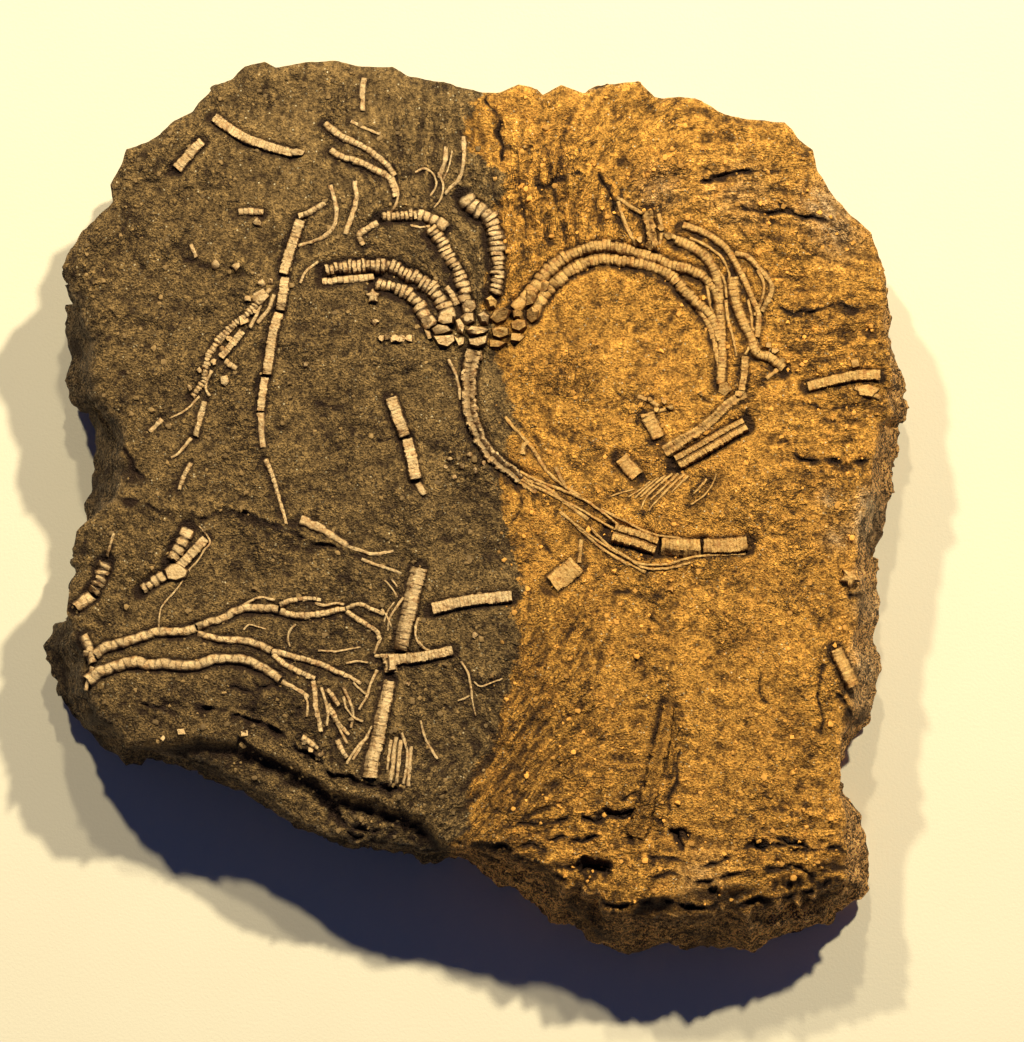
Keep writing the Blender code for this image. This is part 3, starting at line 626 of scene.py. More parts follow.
def beside_fossils():
    """Painted shade on the stone close beside a fossil, more on its shaded side, and in a break."""
    field = np.zeros(MAP_U.shape)
    for look, start, end, line in all_runs():
        half = 0.25 * (start + end)
        part = window(line, 2.0 * half + SHADOW_MARGIN)
        shaded_u, shaded_v = MAP_U[part] + SHADED_ASIDE[0], MAP_V[part] + SHADED_ASIDE[1]
        d, _, _ = distance_to(line, shaded_u, shaded_v)
        near = bell(np.maximum(d - half, 0.0) / SHADOW_REACH) * LOOKS[look]["clearing"]
        field[part] = np.maximum(field[part], near)
    field = field * np.clip(0.75 + 0.9 * rough(MAP_U / 8.0, MAP_V / 8.0, 2, 64), 0.15, 1.0)
    return np.maximum(field, dark_breaks())


def dark_breaks():
    """Painted shade in cracks and just under ledges, 0 to about 2."""
    field = np.zeros(MAP_U.shape)
    aside_u, aside_v = waver(MAP_U, MAP_V)
    waver_u, waver_v = MAP_U + aside_u, MAP_V + aside_v
    for line, width, depth in CRACKS:
        part = window(line, 3.0 * width + 6.0)
        d, _, along = distance_to(line, waver_u[part], waver_v[part])
        dark = min(1.6, 0.4 + 2.4 * depth)
        near = dark * bell(d / max(width, 2.2)) * uneven(MAP_U[part], MAP_V[part])
        field[part] = np.maximum(field[part], near * end_fade(along))
    for line, _, drop in LEDGES:
        part = window(line, SHADOW_MARGIN)
        d, side, along = distance_to(line, waver_u[part], waver_v[part])
        near = np.where(side > 0.0, bell(d / UNDER_LEDGE), bell(d / OVER_LEDGE))
        near = near * min(1.5, 0.7 + 0.6 * drop) * uneven(MAP_U[part], MAP_V[part])
        field[part] = np.maximum(field[part], near * end_fade(along))
    return field


def clear_beside_fossils(height):
    """Lowers the stone a little along each run, where it was cleared away around the fossil."""
    for look, start, end, line in all_runs():
        half = 0.25 * (start + end)
        depth = 0.07 * min(start, 12.0) * MM * LOOKS[look]["clearing"]
        part = window(line, 4.0 * half + SHADOW_MARGIN)
        d, _, _ = distance_to(line, MAP_U[part], MAP_V[part])
        height[part] -= depth * bell(np.maximum(d - half, 0.0) / CLEARING_REACH)
    return height


# ---------------------------------------------------------------- meshes
def piece_from(name, points, faces, attributes, sharp):
    """A smooth mesh object, with per-point numbers, and edges left sharp past an angle."""
    mesh = bpy.data.meshes.new(name)
    mesh.from_pydata(points.tolist(), [], faces)
    for key, values in attributes.items():
        kind = "FLOAT_COLOR" if values.ndim == 2 else "FLOAT"
        layer = mesh.attributes.new(key, kind, "POINT")
        field = "color" if values.ndim == 2 else "value"
        layer.data.foreach_set(field, values.astype(np.float32).ravel())
    mesh.shade_smooth()
    mesh.set_sharp_from_angle(angle=math.radians(sharp))
    obj = bpy.data.objects.new(name, mesh)
    bpy.context.scene.collection.objects.link(obj)
    return obj


def outline_at(count):
    """Points evenly along the outline: u, v, inset, and the direction into the slab."""
    table = np.array(OUTLINE + OUTLINE[:1], dtype=float)
    lengths = np.hypot(*np.diff(table[:, :2], axis=0).T)
    along = np.concatenate([[0.0], np.cumsum(lengths)])
    places = np.linspace(0.0, along[-1], count, endpoint=False)
    u, v, inset = (np.interp(places, along, table[:, k]) for k in range(3))
    closed = np.stack([u, v], axis=1)
    tangent = np.roll(closed, -1, axis=0) - np.roll(closed, 1, axis=0)
    raw = np.stack([-tangent[:, 1], tangent[:, 0]], axis=1)
    raw /= np.linalg.norm(raw, axis=1)[:, None]
    window_size = int(36.0 / (along[-1] / count))
    even = sum(np.roll(raw, k, axis=0) for k in range(-window_size, window_size + 1))
    even /= np.linalg.norm(even, axis=1)[:, None]
    inset = np.interp(inset, [5.0, 12.0, 40.0], [0.5, 12.0, 40.0])
    inset = inset * (1.0 + 0.45 * rough(places / 26.0, places * 0.0, 3, 24))
    strength = np.clip(1.0 + 3.0 * rough(places / 90.0, places * 0.0, 1, 23), 0.2, 2.2)
    ragged = 1.2 + 1.5 * strength * rough(places / 17.0, places * 0.0, 3, 21)
    return u + even[:, 0] * ragged, v + even[:, 1] * ragged, inset, even


def sharp_ridges(x, y):
    """Noise with sharp crests, about -1 to 1."""
    return 1.0 - 4.0 * np.abs(rough(x, y, 2, 37))


def wall_bulge(level, index):
    """How far one ring of the wall stands out from its line, as beds and broken blocks."""
    part = level / WALL_LEVELS
    beds = np.floor(part * 7.0 + 1.6 * rough(index / 60.0, index * 0.0 + 0.3, 2, 31))
    blocks = np.floor(index / 17.0 + 1.3 * hashed(beds, beds * 0, 36))
    bulge = 3.0 * (hashed(beds, blocks, 32) - 0.5) - 1.1
    bulge += 2.0 * rough(index / 22.0, index * 0.0 + level * 0.45, 3, 33)
    bulge += 1.6 * rough(index / 8.0, index * 0.0 + level * 0.90, 2, 34)
    bulge += 0.5 * sharp_ridges(index / 5.0, index * 0.0 + level * 0.70)
    bulge *= MM * np.interp(part, [0.0, 0.1, 0.85, 1.0], [0.3, 1.0, 0.9, 0.0])
    return bulge


def wall_points(outline, height):
    """Rings of points from the foot of the wall to the rim, each as an array."""
    u, v, inset, inward = outline
    rim_u, rim_v = u + inward[:, 0] * inset, v + inward[:, 1] * inset
    rim_height = read_map(height, rim_u, rim_v) - EDGE_FALL
    index = np.arange(len(u)) * 0.75
    lean = smooth_step((inset - HIDDEN_WALL) / (LEANING_WALL - HIDDEN_WALL))
    rings = []
    for level in range(WALL_LEVELS + 1):
        part = level / WALL_LEVELS
        in_share = np.interp(part, [0.0, 0.15, 0.42, 0.74, 1.0], [0.0, 0.2, 0.0, 0.42, 1.0])
        foot = np.interp(part, [0.0, 0.15], [UNDERCUT, 0.0])
        run_in = inset * in_share + foot
        z = rim_height * part
        drop = SLAB_THICKNESS - z
        x = plan_x(u + inward[:, 0] * run_in) * (1.0 + WALL_SPREAD * drop * lean)
        y = plan_y(v + inward[:, 1] * run_in) * (1.0 + WALL_SPREAD * drop * lean)
        y += WALL_LEAN * drop * lean
        bulge = wall_bulge(level, index)
        x -= inward[:, 0] * bulge
        y += inward[:, 1] * bulge
        if level < WALL_LEVELS:
            z = z + 0.8 * MM * rough(index / 14.0, index * 0.0 + level, 2, 35) * (level > 0)
        rings.append(np.stack([x, y, z], axis=1))
    return rings, rim_u, rim_v


def inside_mask(loop_u, loop_v, u, v, margin):
    """Which points are inside a loop and at least margin from its corners."""
    crossings = np.zeros(u.shape, dtype=int)
    near = np.full(u.shape, 1e9)
    next_u, next_v = np.roll(loop_u, -1), np.roll(loop_v, -1)
    for a_u, a_v, b_u, b_v in zip(loop_u, loop_v, next_u, next_v):
        rows = (a_v > v) != (b_v > v)
        if rows.any():
            cut = a_u + (b_u - a_u) * (v - a_v) / (b_v - a_v if b_v != a_v else 1.0)
            crossings += rows & (u < cut)
        near = np.minimum(near, (u - a_u) ** 2 + (v - a_v) ** 2)
    return (crossings % 2 == 1) & (near > margin**2)


def face_points(rim_u, rim_v):
    """A triangular grid of u, v clear of the rim."""
    row_height = FACE_SPACING * math.sqrt(3.0) / 2.0
    rows = int(GRID_SPAN / row_height)
    columns = int(GRID_SPAN / FACE_SPACING)
    row, column = np.meshgrid(np.arange(rows), np.arange(columns), indexing="ij")
    u = GRID_FROM[0] + (column + 0.5 * (row % 2)) * FACE_SPACING
    v = GRID_FROM[1] + row * row_height
    u = u + FACE_SPACING * 0.25 * (hashed(row, column, 51) - 0.5)
    v = v + FACE_SPACING * 0.25 * (hashed(row, column, 52) - 0.5)
    u, v = u.ravel(), v.ravel()
    extra_u, extra_v, depth = break_rows()
    clear = np.ones(u.shape, dtype=bool)
    for p_u, p_v in zip(extra_u, extra_v):
        clear &= (u - p_u) ** 2 + (v - p_v) ** 2 > 1.5
    depth = np.concatenate([np.zeros(clear.sum()), depth])
    u, v = np.concatenate([u[clear], extra_u]), np.concatenate([v[clear], extra_v])
    keep = inside_mask(rim_u, rim_v, u, v, 0.62 * FACE_SPACING)
    return u[keep], v[keep], depth[keep]


def wavered(line):
    """A break's line at even spacing, wavering as it does on the height map."""
    u, v, _ = spline(line, 1.7)
    aside_u, aside_v = waver(u, v)
    aside_u, aside_v = waver(u - aside_u, v - aside_v)
    return u - aside_u, v - aside_v


def break_rows():
    """Extra points of the mesh along every crack and ledge, and how deep each one is cut."""
    all_u, all_v, depths = [], [], []
    breaks = [(line, depth, 0.0) for line, _, depth in CRACKS]
    breaks += [(line, 0.55 * drop, 0.9) for line, _, drop in LEDGES]
    for line, depth, aside in breaks:
        u, v = wavered(line)
        du, dv = np.gradient(u), np.gradient(v)
        size = np.hypot(du, dv)
        normal_u, normal_v = -dv / size, du / size
        share = np.linspace(0.0, 1.0, len(u))
        fade = end_fade(share) * uneven(u, v)
        for offset, cut in ((-1.25, 0.0), (aside, 1.0), (aside + 1.35, 0.35 if aside else 0.0)):
            all_u.append(u + normal_u * offset)
            all_v.append(v + normal_v * offset)
            depths.append(cut * depth * MM * fade)
    return np.concatenate(all_u), np.concatenate(all_v), np.concatenate(depths)


def edge_fall(u, v, rim_u, rim_v):
    """How far the face falls towards its rim, in metres."""
    near = np.full(u.shape, 1e9)
    for a_u, a_v in zip(rim_u, rim_v):
        near = np.minimum(near, (u - a_u) ** 2 + (v - a_v) ** 2)
    distance = np.sqrt(near)
    return EDGE_FALL * np.exp(-((distance / 7.0) ** 1.3))


def ring_faces(rings, count):
    """Four-sided faces between closed rings of points, each of the same count."""
    faces = []
    for ring in range(rings - 1):
        for i in range(count):
            a, b = ring * count + i, ring * count + (i + 1) % count
            faces.append((a, b, b + count, a + count))
    return faces


def build_stone(height, angle):
    outline = outline_at(WALL_POINTS)
    rings, rim_u, rim_v = wall_points(outline, height)
    u, v, cut = face_points(rim_u, rim_v)
    z = read_map(height, u, v) - edge_fall(u, v, rim_u, rim_v) - cut
    top = np.stack([plan_x(u), plan_y(v), z], axis=1)
    count = WALL_POINTS
    points = np.concatenate(rings + [top])
    flat = points[count * WALL_LEVELS :, :2] * (1.0 / MM)
    rim_edges = [(i, (i + 1) % count) for i in range(count)]
    made = delaunay_2d_cdt(flat.tolist(), rim_edges, [], 1, 1e-6)
    first_source = [sources[0] + count * WALL_LEVELS for sources in made[3]]
    faces = [[first_source[i] for i in face] for face in made[2]]
    for low, near, far, high in ring_faces(WALL_LEVELS + 1, count):
        faces.append((near, low, high, far))
    faces.append(list(range(count)))
    attributes = stone_attributes(points, height, angle)
    # Painted shade in the rows cut along cracks and ledges.
    attributes["hollow"][count * (WALL_LEVELS + 1) :] += np.minimum(cut / (0.25 * MM), 1.6)
    return piece_from("stone", points, faces, attributes, 62)


def grain_weights(angle, u, v):
    """How well the grain matches each of GRAIN_TURNS, for each point."""
    weights = []
    local = read_map(np.cos(2.0 * angle), u, v), read_map(np.sin(2.0 * angle), u, v)
    for turn in GRAIN_TURNS:
        toward = math.radians(2.0 * turn)
        match = local[0] * math.cos(toward) + local[1] * math.sin(toward)
        weights.append(np.clip(match, 0.0, 1.0) ** 1.5)
    return np.stack(weights, axis=1)


def stone_attributes(points, height, angle):
    """The numbers that the stone's material reads from its points."""
    u = points[:, 0] / PLAN_STEP + PLAN_CENTRE[0]
    v = PLAN_CENTRE[1] - points[:, 1] / PLAN_STEP
    line_u = np.interp(v, [p[1] for p in COLOUR_LINE], [p[0] for p in COLOUR_LINE])
    stray = 16.0 * rough(u / 42.0, v / 42.0, 2, 62) + 7.0 * rough(u / 12.0, v / 12.0, 3, 61)
    blend = 0.5 + (u - line_u + stray) / COLOUR_BLEND
    # Painted shade in the stone's hollows: how far each point lies below the stone around it.
    fine = height - blur(height, 4.0)
    broad = height - blur(height, 14.0)
    hollow = np.clip(-fine / (0.16 * MM), -1.0, 1.5) * 0.6
    hollow += np.clip(-broad / (0.6 * MM), -1.0, 1.5) * 0.4
    face_level = read_map(height, u, v)
    wall = smooth_step((face_level - points[:, 2] - 1.2 * MM) / (2.5 * MM))
    face = 1.0 - wall
    return {
        "ochre": np.clip(blend, 0.0, 1.0),
        "hollow": read_map(hollow, u, v) * face,
        "wall": wall,
        "tone": read_map(strength_of(TONES, 0.0), u, v),
        "drawn": read_map(strength_of(STRANDS, STRAND_BASE), u, v) * face,
        "broken": read_map(strength_of(BROKEN, BROKEN_BASE), u, v) + 0.3 * wall,
        # Painted shade beside the fossils and in breaks.
        "beside": read_map(beside_fossils(), u, v) * face,
        "grey": read_map(strength_of(GREY, 0.0), u, v),
        "calm": read_map(strength_of(CALM, 0.0), u, v),
        "turns": grain_weights(angle, u, v) * face[:, None],
        }


# ---------------------------------------------------------------- fossils
# Sections of a run, from its left side over the top to its right: across (half width), up (rise)
# and how dark it is coloured there: painted shade low down on its sides and at its foot, and
# dark in its grooves.
ROUND = [
    (-1.20, -0.8, 1.0), (-1.15, 0.0, 1.0), (-1.0, 0.10, 0.9), (-0.95, 0.45, 0.3), (-0.72, 0.80, 0.0),
    (-0.38, 0.97, 0.0), (0.0, 1.0, 0.0), (0.38, 0.97, 0.0), (0.72, 0.80, 0.0), (0.95, 0.45, 0.3),
    (1.0, 0.10, 0.9), (1.15, 0.0, 1.0), (1.20, -0.8, 1.0),
]
FLAT = [
    (-1.18, -0.8, 1.0), (-1.12, 0.0, 1.0), (-1.0, 0.10, 0.9), (-0.96, 0.68, 0.3), (-0.80, 0.96, 0.0),
    (-0.36, 0.99, 0.0), (0.0, 0.97, 0.0), (0.36, 0.99, 0.0), (0.80, 0.96, 0.0), (0.96, 0.68, 0.3),
    (1.0, 0.10, 0.9), (1.12, 0.0, 1.0), (1.18, -0.8, 1.0),
]
TWIN = [
    (-1.18, -0.8, 1.0), (-1.12, 0.0, 1.0), (-1.0, 0.10, 0.9), (-0.94, 0.80, 0.2), (-0.74, 1.0, 0.0),
    (-0.46, 0.86, 0.2), (-0.05, 0.40, 0.75), (0.34, 0.66, 0.45), (0.66, 1.0, 0.0), (0.92, 0.80, 0.2),
    (1.0, 0.10, 0.9), (1.12, 0.0, 1.0), (1.18, -0.8, 1.0),
]
TILTED = [
    (-1.18, -0.8, 1.0), (-1.12, 0.0, 1.0), (-1.0, 0.10, 0.9), (-0.94, 0.74, 0.2), (-0.72, 0.97, 0.0),
    (-0.25, 1.0, 0.0), (0.12, 0.98, 0.0), (0.38, 0.90, 0.0), (0.56, 0.60, 0.25), (0.84, 0.42, 0.3),
    (1.0, 0.10, 0.9), (1.12, 0.0, 1.0), (1.18, -0.8, 1.0),
]
GROOVED = [
    (-1.18, -0.8, 1.0), (-1.12, 0.0, 1.0), (-1.0, 0.10, 0.9), (-0.96, 0.75, 0.1), (-0.80, 1.0, 0.0),
    (-0.50, 0.96, 0.0), (-0.26, 0.92, 0.1), (-0.12, 0.58, 0.9), (0.02, 0.60, 0.9), (0.14, 0.98, 0.0),
    (0.45, 1.04, 0.0), (0.80, 1.0, 0.0), (0.97, 0.70, 0.4), (1.0, 0.10, 1.0), (1.12, 0.0, 1.0),
    (1.18, -0.8, 1.0),
]

# Along one ossicle: how far along it, its girth there, and how much of the joint's dirt it holds.
DISC = [(0.0, 0.975, 0.42), (0.22, 1.0, 0.0), (0.50, 1.0, 0.0), (0.80, 1.0, 0.0)]
SEAM = [(0.0, 0.91, 0.85), (0.14, 1.0, 0.15), (0.50, 1.02, 0.0), (0.86, 1.0, 0.10)]
CUP = [(0.0, 0.82, 1.0), (0.12, 0.95, 0.7), (0.24, 1.02, 0.0), (0.78, 1.03, 0.0), (0.90, 0.94, 0.7)]
SMOOTH = [(0.0, 0.93, 0.75), (0.14, 1.0, 0.05), (0.50, 1.0, 0.0), (0.86, 1.0, 0.05)]
BEAD = [(0.0, 0.74, 0.9), (0.24, 0.97, 0.1), (0.55, 1.04, 0.0), (0.84, 0.92, 0.2)]
RIB = [(0.0, 0.72, 1.0), (0.22, 0.86, 1.0), (0.36, 1.06, 0.0), (0.80, 1.0, 0.1), (0.92, 0.86, 0.8)]
PLAIN = [(0.0, 0.97, 0.2), (0.5, 1.02, 0.0)]

# What each kind of run looks like: its section and ring; length of an ossicle in steps; how many
# times longer the first ones are, and over what length that fades; rise as a share of the width;
# how much the ossicles differ; how slanting their joints are; how deeply the stone is cleared
# beside it, which also sets the strength of the painted shade beside it; and how far its points
# are roughened, in millimetres.
KEYS = ("section", "ring", "period", "first", "fade", "rise", "vary", "skew", "clearing", "jitter")
LOOKS = {name: dict(zip(KEYS, values)) for name, values in {
    "column": (FLAT, DISC, 3.6, 1.0, 18.0, 0.46, 0.06, 0.0, 1.0, 0.09),
    "tilted": (TILTED, DISC, 3.6, 1.0, 18.0, 0.48, 0.055, 0.0, 1.0, 0.09),
    "stem": (TWIN, DISC, 4.6, 1.0, 18.0, 0.46, 0.12, 0.0, 1.1, 0.16),
    "grooved": (GROOVED, DISC, 3.2, 1.0, 18.0, 0.50, 0.05, 0.0, 1.4, 0.07),
    "stub": (FLAT, DISC, 4.8, 1.0, 18.0, 0.30, 0.06, 0.0, 0.8, 0.10),
    "arm": (ROUND, CUP, 4.6, 2.4, 18.0, 0.50, 0.19, 0.10, 1.35, 0.15),
    "long_arm": (ROUND, SEAM, 4.0, 3.4, 26.0, 0.48, 0.12, 0.08, 1.3, 0.11),
    "rod": (ROUND, SMOOTH, 6.6, 1.0, 18.0, 0.46, 0.06, 0.30, 1.1, 0.07),
    "fine_rod": (ROUND, SMOOTH, 3.7, 1.0, 18.0, 0.48, 0.07, 0.10, 1.25, 0.06),
    "twig": (ROUND, SMOOTH, 5.2, 1.0, 18.0, 0.46, 0.10, 0.10, 0.9, 0.08),
    "beads": (ROUND, BEAD, 4.0, 1.0, 18.0, 0.50, 0.18, 0.08, 0.9, 0.12),
    "ribs": (ROUND, RIB, 8.4, 1.0, 18.0, 0.46, 0.10, -0.12, 1.3, 0.14),
    "blocks": (ROUND, CUP, 10.5, 1.2, 18.0, 0.48, 0.16, 0.0, 1.3, 0.20),
    "cirrus": (ROUND, PLAIN, 4.4, 1.0, 18.0, 0.60, 0.14, 0.0, 0.7, 0.05),
    "ghost": (ROUND, PLAIN, 5.6, 1.0, 18.0, 0.36, 0.16, 0.0, 0.5, 0.06),
    "low": (TWIN, DISC, 4.4, 1.0, 18.0, 0.24, 0.10, 0.0, 0.6, 0.14),
    "buried": (TWIN, PLAIN, 5.0, 1.0, 18.0, 0.22, 0.16, 0.0, 0.8, 0.24),
}.items()}

# The runs that are solids too: look, width at the start and at the end in steps, middle line.
RUNS = {
    "main_stem": ("stem", 17, 11, [
        (474, 352), (470, 372), (469, 394), (470, 411), (475, 429), (481, 444), (490, 457),
        (505, 470), (521, 482)]),
    "arm_left_upper": ("arm", 15, 12, [
        (448, 322), (446, 313), (440, 300), (431, 289), (422, 283), (409, 276), (396, 270),
        (383, 266), (360, 266), (340, 268), (325, 271)]),
    "arm_left_lower": ("arm", 15, 11, [
        (432, 328), (426, 318), (420, 308), (413, 299), (405, 293), (395, 289), (385, 287),
        (376, 284)]),
    "arm_back": ("arm", 13, 12, [
        (468, 315), (465, 297), (462, 285), (456, 270), (449, 258), (443, 247), (436, 236),
        (430, 228)]),
    "arm_back_tip": ("arm", 11, 9, [
        (446, 229), (438, 222), (428, 217), (418, 215), (405, 216), (392, 217), (382, 217)]),
    "arm_centre": ("arm", 17, 14, [
        (464, 196), (470, 205), (483, 213), (492, 224), (495, 235), (497, 257), (498, 278),
        (494, 295)]),
    "arm_right_outer": ("long_arm", 14, 9, [
        (515, 311), (528, 297), (541, 280), (552, 268), (565, 258), (585, 250), (600, 246),
        (615, 247), (635, 252), (655, 258), (672, 265), (692, 271), (705, 279), (714, 290),
        (718, 301)]),
    "arm_right_inner": ("long_arm", 12, 11, [
        (533, 318), (538, 305), (547, 293), (556, 284), (568, 274), (582, 266), (595, 261),
        (610, 260), (625, 262), (644, 265), (662, 271), (675, 280), (685, 292), (698, 305),
        (709, 314), (716, 327), (719, 342)]),
    "branch_right_far": ("fine_rod", 8, 6, [
        (683, 225), (701, 231), (716, 240), (727, 249), (735, 262), (744, 279), (751, 296),
        (758, 312), (759, 322), (757, 338)]),
    "branch_right_middle": ("fine_rod", 11, 9, [
        (676, 240), (690, 246), (703, 255), (712, 266), (717, 279), (719, 294), (720, 316),
        (722, 340), (722, 364), (720, 386)]),
    "branch_right_near": ("fine_rod", 12, 10, [
        (733, 277), (735, 299), (742, 320), (751, 340), (757, 355), (770, 359), (783, 370)]),
    "upper_right_column": ("stem", 11, 9, [(648, 210), (650, 225), (652, 240), (648, 248)]),
    "top_strand_upper": ("twig", 8, 6, [
        (324, 122), (332, 129), (342, 136), (355, 142), (367, 149), (378, 157), (388, 166),
        (394, 175)]),
    "top_strand_lower": ("twig", 8, 7, [
        (330, 149), (340, 156), (352, 159), (365, 164), (376, 170), (387, 176), (393, 185),
        (395, 197)]),
    "left_column_top": ("twig", 6, 6, [(325, 203), (310, 212), (298, 216)]),
    "left_column_upper": ("column", 11, 10, [(300, 220), (293, 240), (288, 257), (283, 274)]),
    "left_column_middle": ("column", 10, 10, [(285, 278), (283, 294), (280, 311)]),
    "left_column_lower": ("column", 10, 10, [
        (279, 314), (273, 335), (270, 355), (267, 376)]),
    "left_column_end": ("column", 9, 8, [(265, 379), (263, 395), (261, 413)]),
    "upper_left_column": ("column", 11, 9, [
        (213, 115), (229, 127), (245, 137), (262, 143), (276, 148), (292, 152)]),
    "upper_left_stub": ("column", 11, 10, [(176, 167), (188, 153), (201, 139)]),
    "cluster_arm": ("beads", 8, 6, [
        (262, 300), (245, 318), (232, 328), (222, 338), (214, 348), (208, 360), (205, 375),
        (204, 383), (193, 398)]),
    "cluster_bar": ("column", 8, 7, [(243, 333), (232, 346), (221, 359)]),
    "middle_column_upper": ("column", 13, 12, [(391, 400), (398, 420), (405, 438)]),
    "middle_column_lower": ("column", 12, 12, [(407, 441), (412, 460), (416, 482)]),
    "right_column": ("column", 10, 11, [
        (808, 388), (825, 383), (842, 379), (860, 376), (880, 376)]),
    "grooved_column": ("grooved", 16, 15, [(677, 465), (694, 455), (710, 446), (727, 436), (745, 426)]),
    "low_column_behind": ("low", 11, 9, [
        (664, 454), (684, 441), (702, 430), (719, 415), (735, 401), (746, 396)]),
    "lower_right_column": ("tilted", 13, 13, [(852, 688), (843, 670), (834, 651)]),
    "cross_upper_column": ("tilted", 17, 14, [
        (420, 571), (414, 593), (410, 613), (405, 632), (401, 652)]),
    "cross_side_column": ("column", 12, 10, [
        (390, 664), (401, 661), (415, 660), (435, 657), (453, 653)]),
    "cross_lower_column": ("tilted", 12, 15, [
        (390, 683), (387, 700), (382, 722), (378, 745), (373, 763), (371, 780)]),
    "cross_right_bar": ("column", 12, 12, [
        (433, 612), (452, 607), (473, 603), (493, 601), (512, 599)]),
    "small_base_plate": ("rod", 9, 8, [(85, 637), (90, 648), (94, 664)]),
    "small_arm_upper": ("rod", 11, 9, [
        (97, 657), (104, 651), (115, 647), (128, 644), (137, 641), (150, 637), (160, 634),
        (175, 634), (188, 633), (197, 630)]),
    "small_arm_upper_branch": ("rod", 8, 9, [
        (199, 629), (207, 626), (213, 624), (224, 621), (236, 614), (248, 610), (262, 611),
        (272, 611), (279, 612)]),
    "small_twig_top": ("twig", 6, 4, [(281, 608), (290, 604), (300, 602), (312, 601), (322, 603)]),
    "small_branch_upper": ("twig", 8, 6, [
        (281, 614), (295, 618), (310, 618), (325, 616), (337, 613), (346, 612)]),
    "small_twig_upper": ("twig", 5, 5, [
        (347, 611), (355, 608), (362, 607), (370, 611), (378, 614), (385, 617)]),
    "small_twig_middle": ("twig", 6, 5, [(347, 614), (357, 621), (368, 628), (378, 635), (380, 642)]),
    "small_arm_middle": ("rod", 7, 8, [
        (199, 636), (207, 638), (224, 642), (244, 643), (259, 647), (272, 653)]),
    "small_twig_lower": ("twig", 7, 6, [
        (273, 654), (280, 655), (295, 659), (310, 663), (325, 668), (335, 673), (345, 677)]),
    "small_twig_low": ("twig", 7, 6, [(274, 657), (285, 666), (297, 673), (308, 678), (316, 681)]),
    "small_arm_lower": ("rod", 13, 9, [
        (90, 682), (100, 675), (112, 670), (125, 666), (140, 664), (150, 667), (165, 666),
        (180, 668), (200, 667), (215, 662), (231, 661), (246, 662), (258, 667), (270, 674),
        (281, 682)]),
    "edge_piece": ("ribs", 15, 13, [(107, 564), (104, 574), (100, 584), (94, 594)]),
    "twin_column": ("blocks", 14, 12, [(189, 530), (184, 543), (178, 553), (173, 562)]),
    "twin_bar": ("column", 10, 10, [(207, 541), (194, 555), (181, 569)]),
    "twin_foot": ("arm", 11, 9, [(166, 577), (160, 581), (152, 586), (144, 592)]),
    "stem_joint_near": ("grooved", 19, 18, [(613, 535), (636, 542), (656, 549)]),
    "stem_joint_middle": ("tilted", 18, 17, [(661, 549), (680, 550), (700, 549)]),
    "stem_joint_far": ("column", 16, 15, [(703, 548), (725, 548), (746, 546)]),
    "centre_stub": ("stub", 21, 19, [(577, 567), (566, 577), (552, 587)]),
}
DUSTY_NODES = ("right_column", "lower_right_column")  # tan pieces under ochre dust
OCHRE_NODES = (
    "arm_right_outer", "arm_right_inner", "branch_right_far", "branch_right_middle",
    "branch_right_near", "upper_right_column", "grooved_column", "low_column_behind",
    "stem_cirri", "stem_joint_near", "stem_joint_middle", "stem_joint_far", "centre_stub",
    "star_columnal", "calyx_right",
)

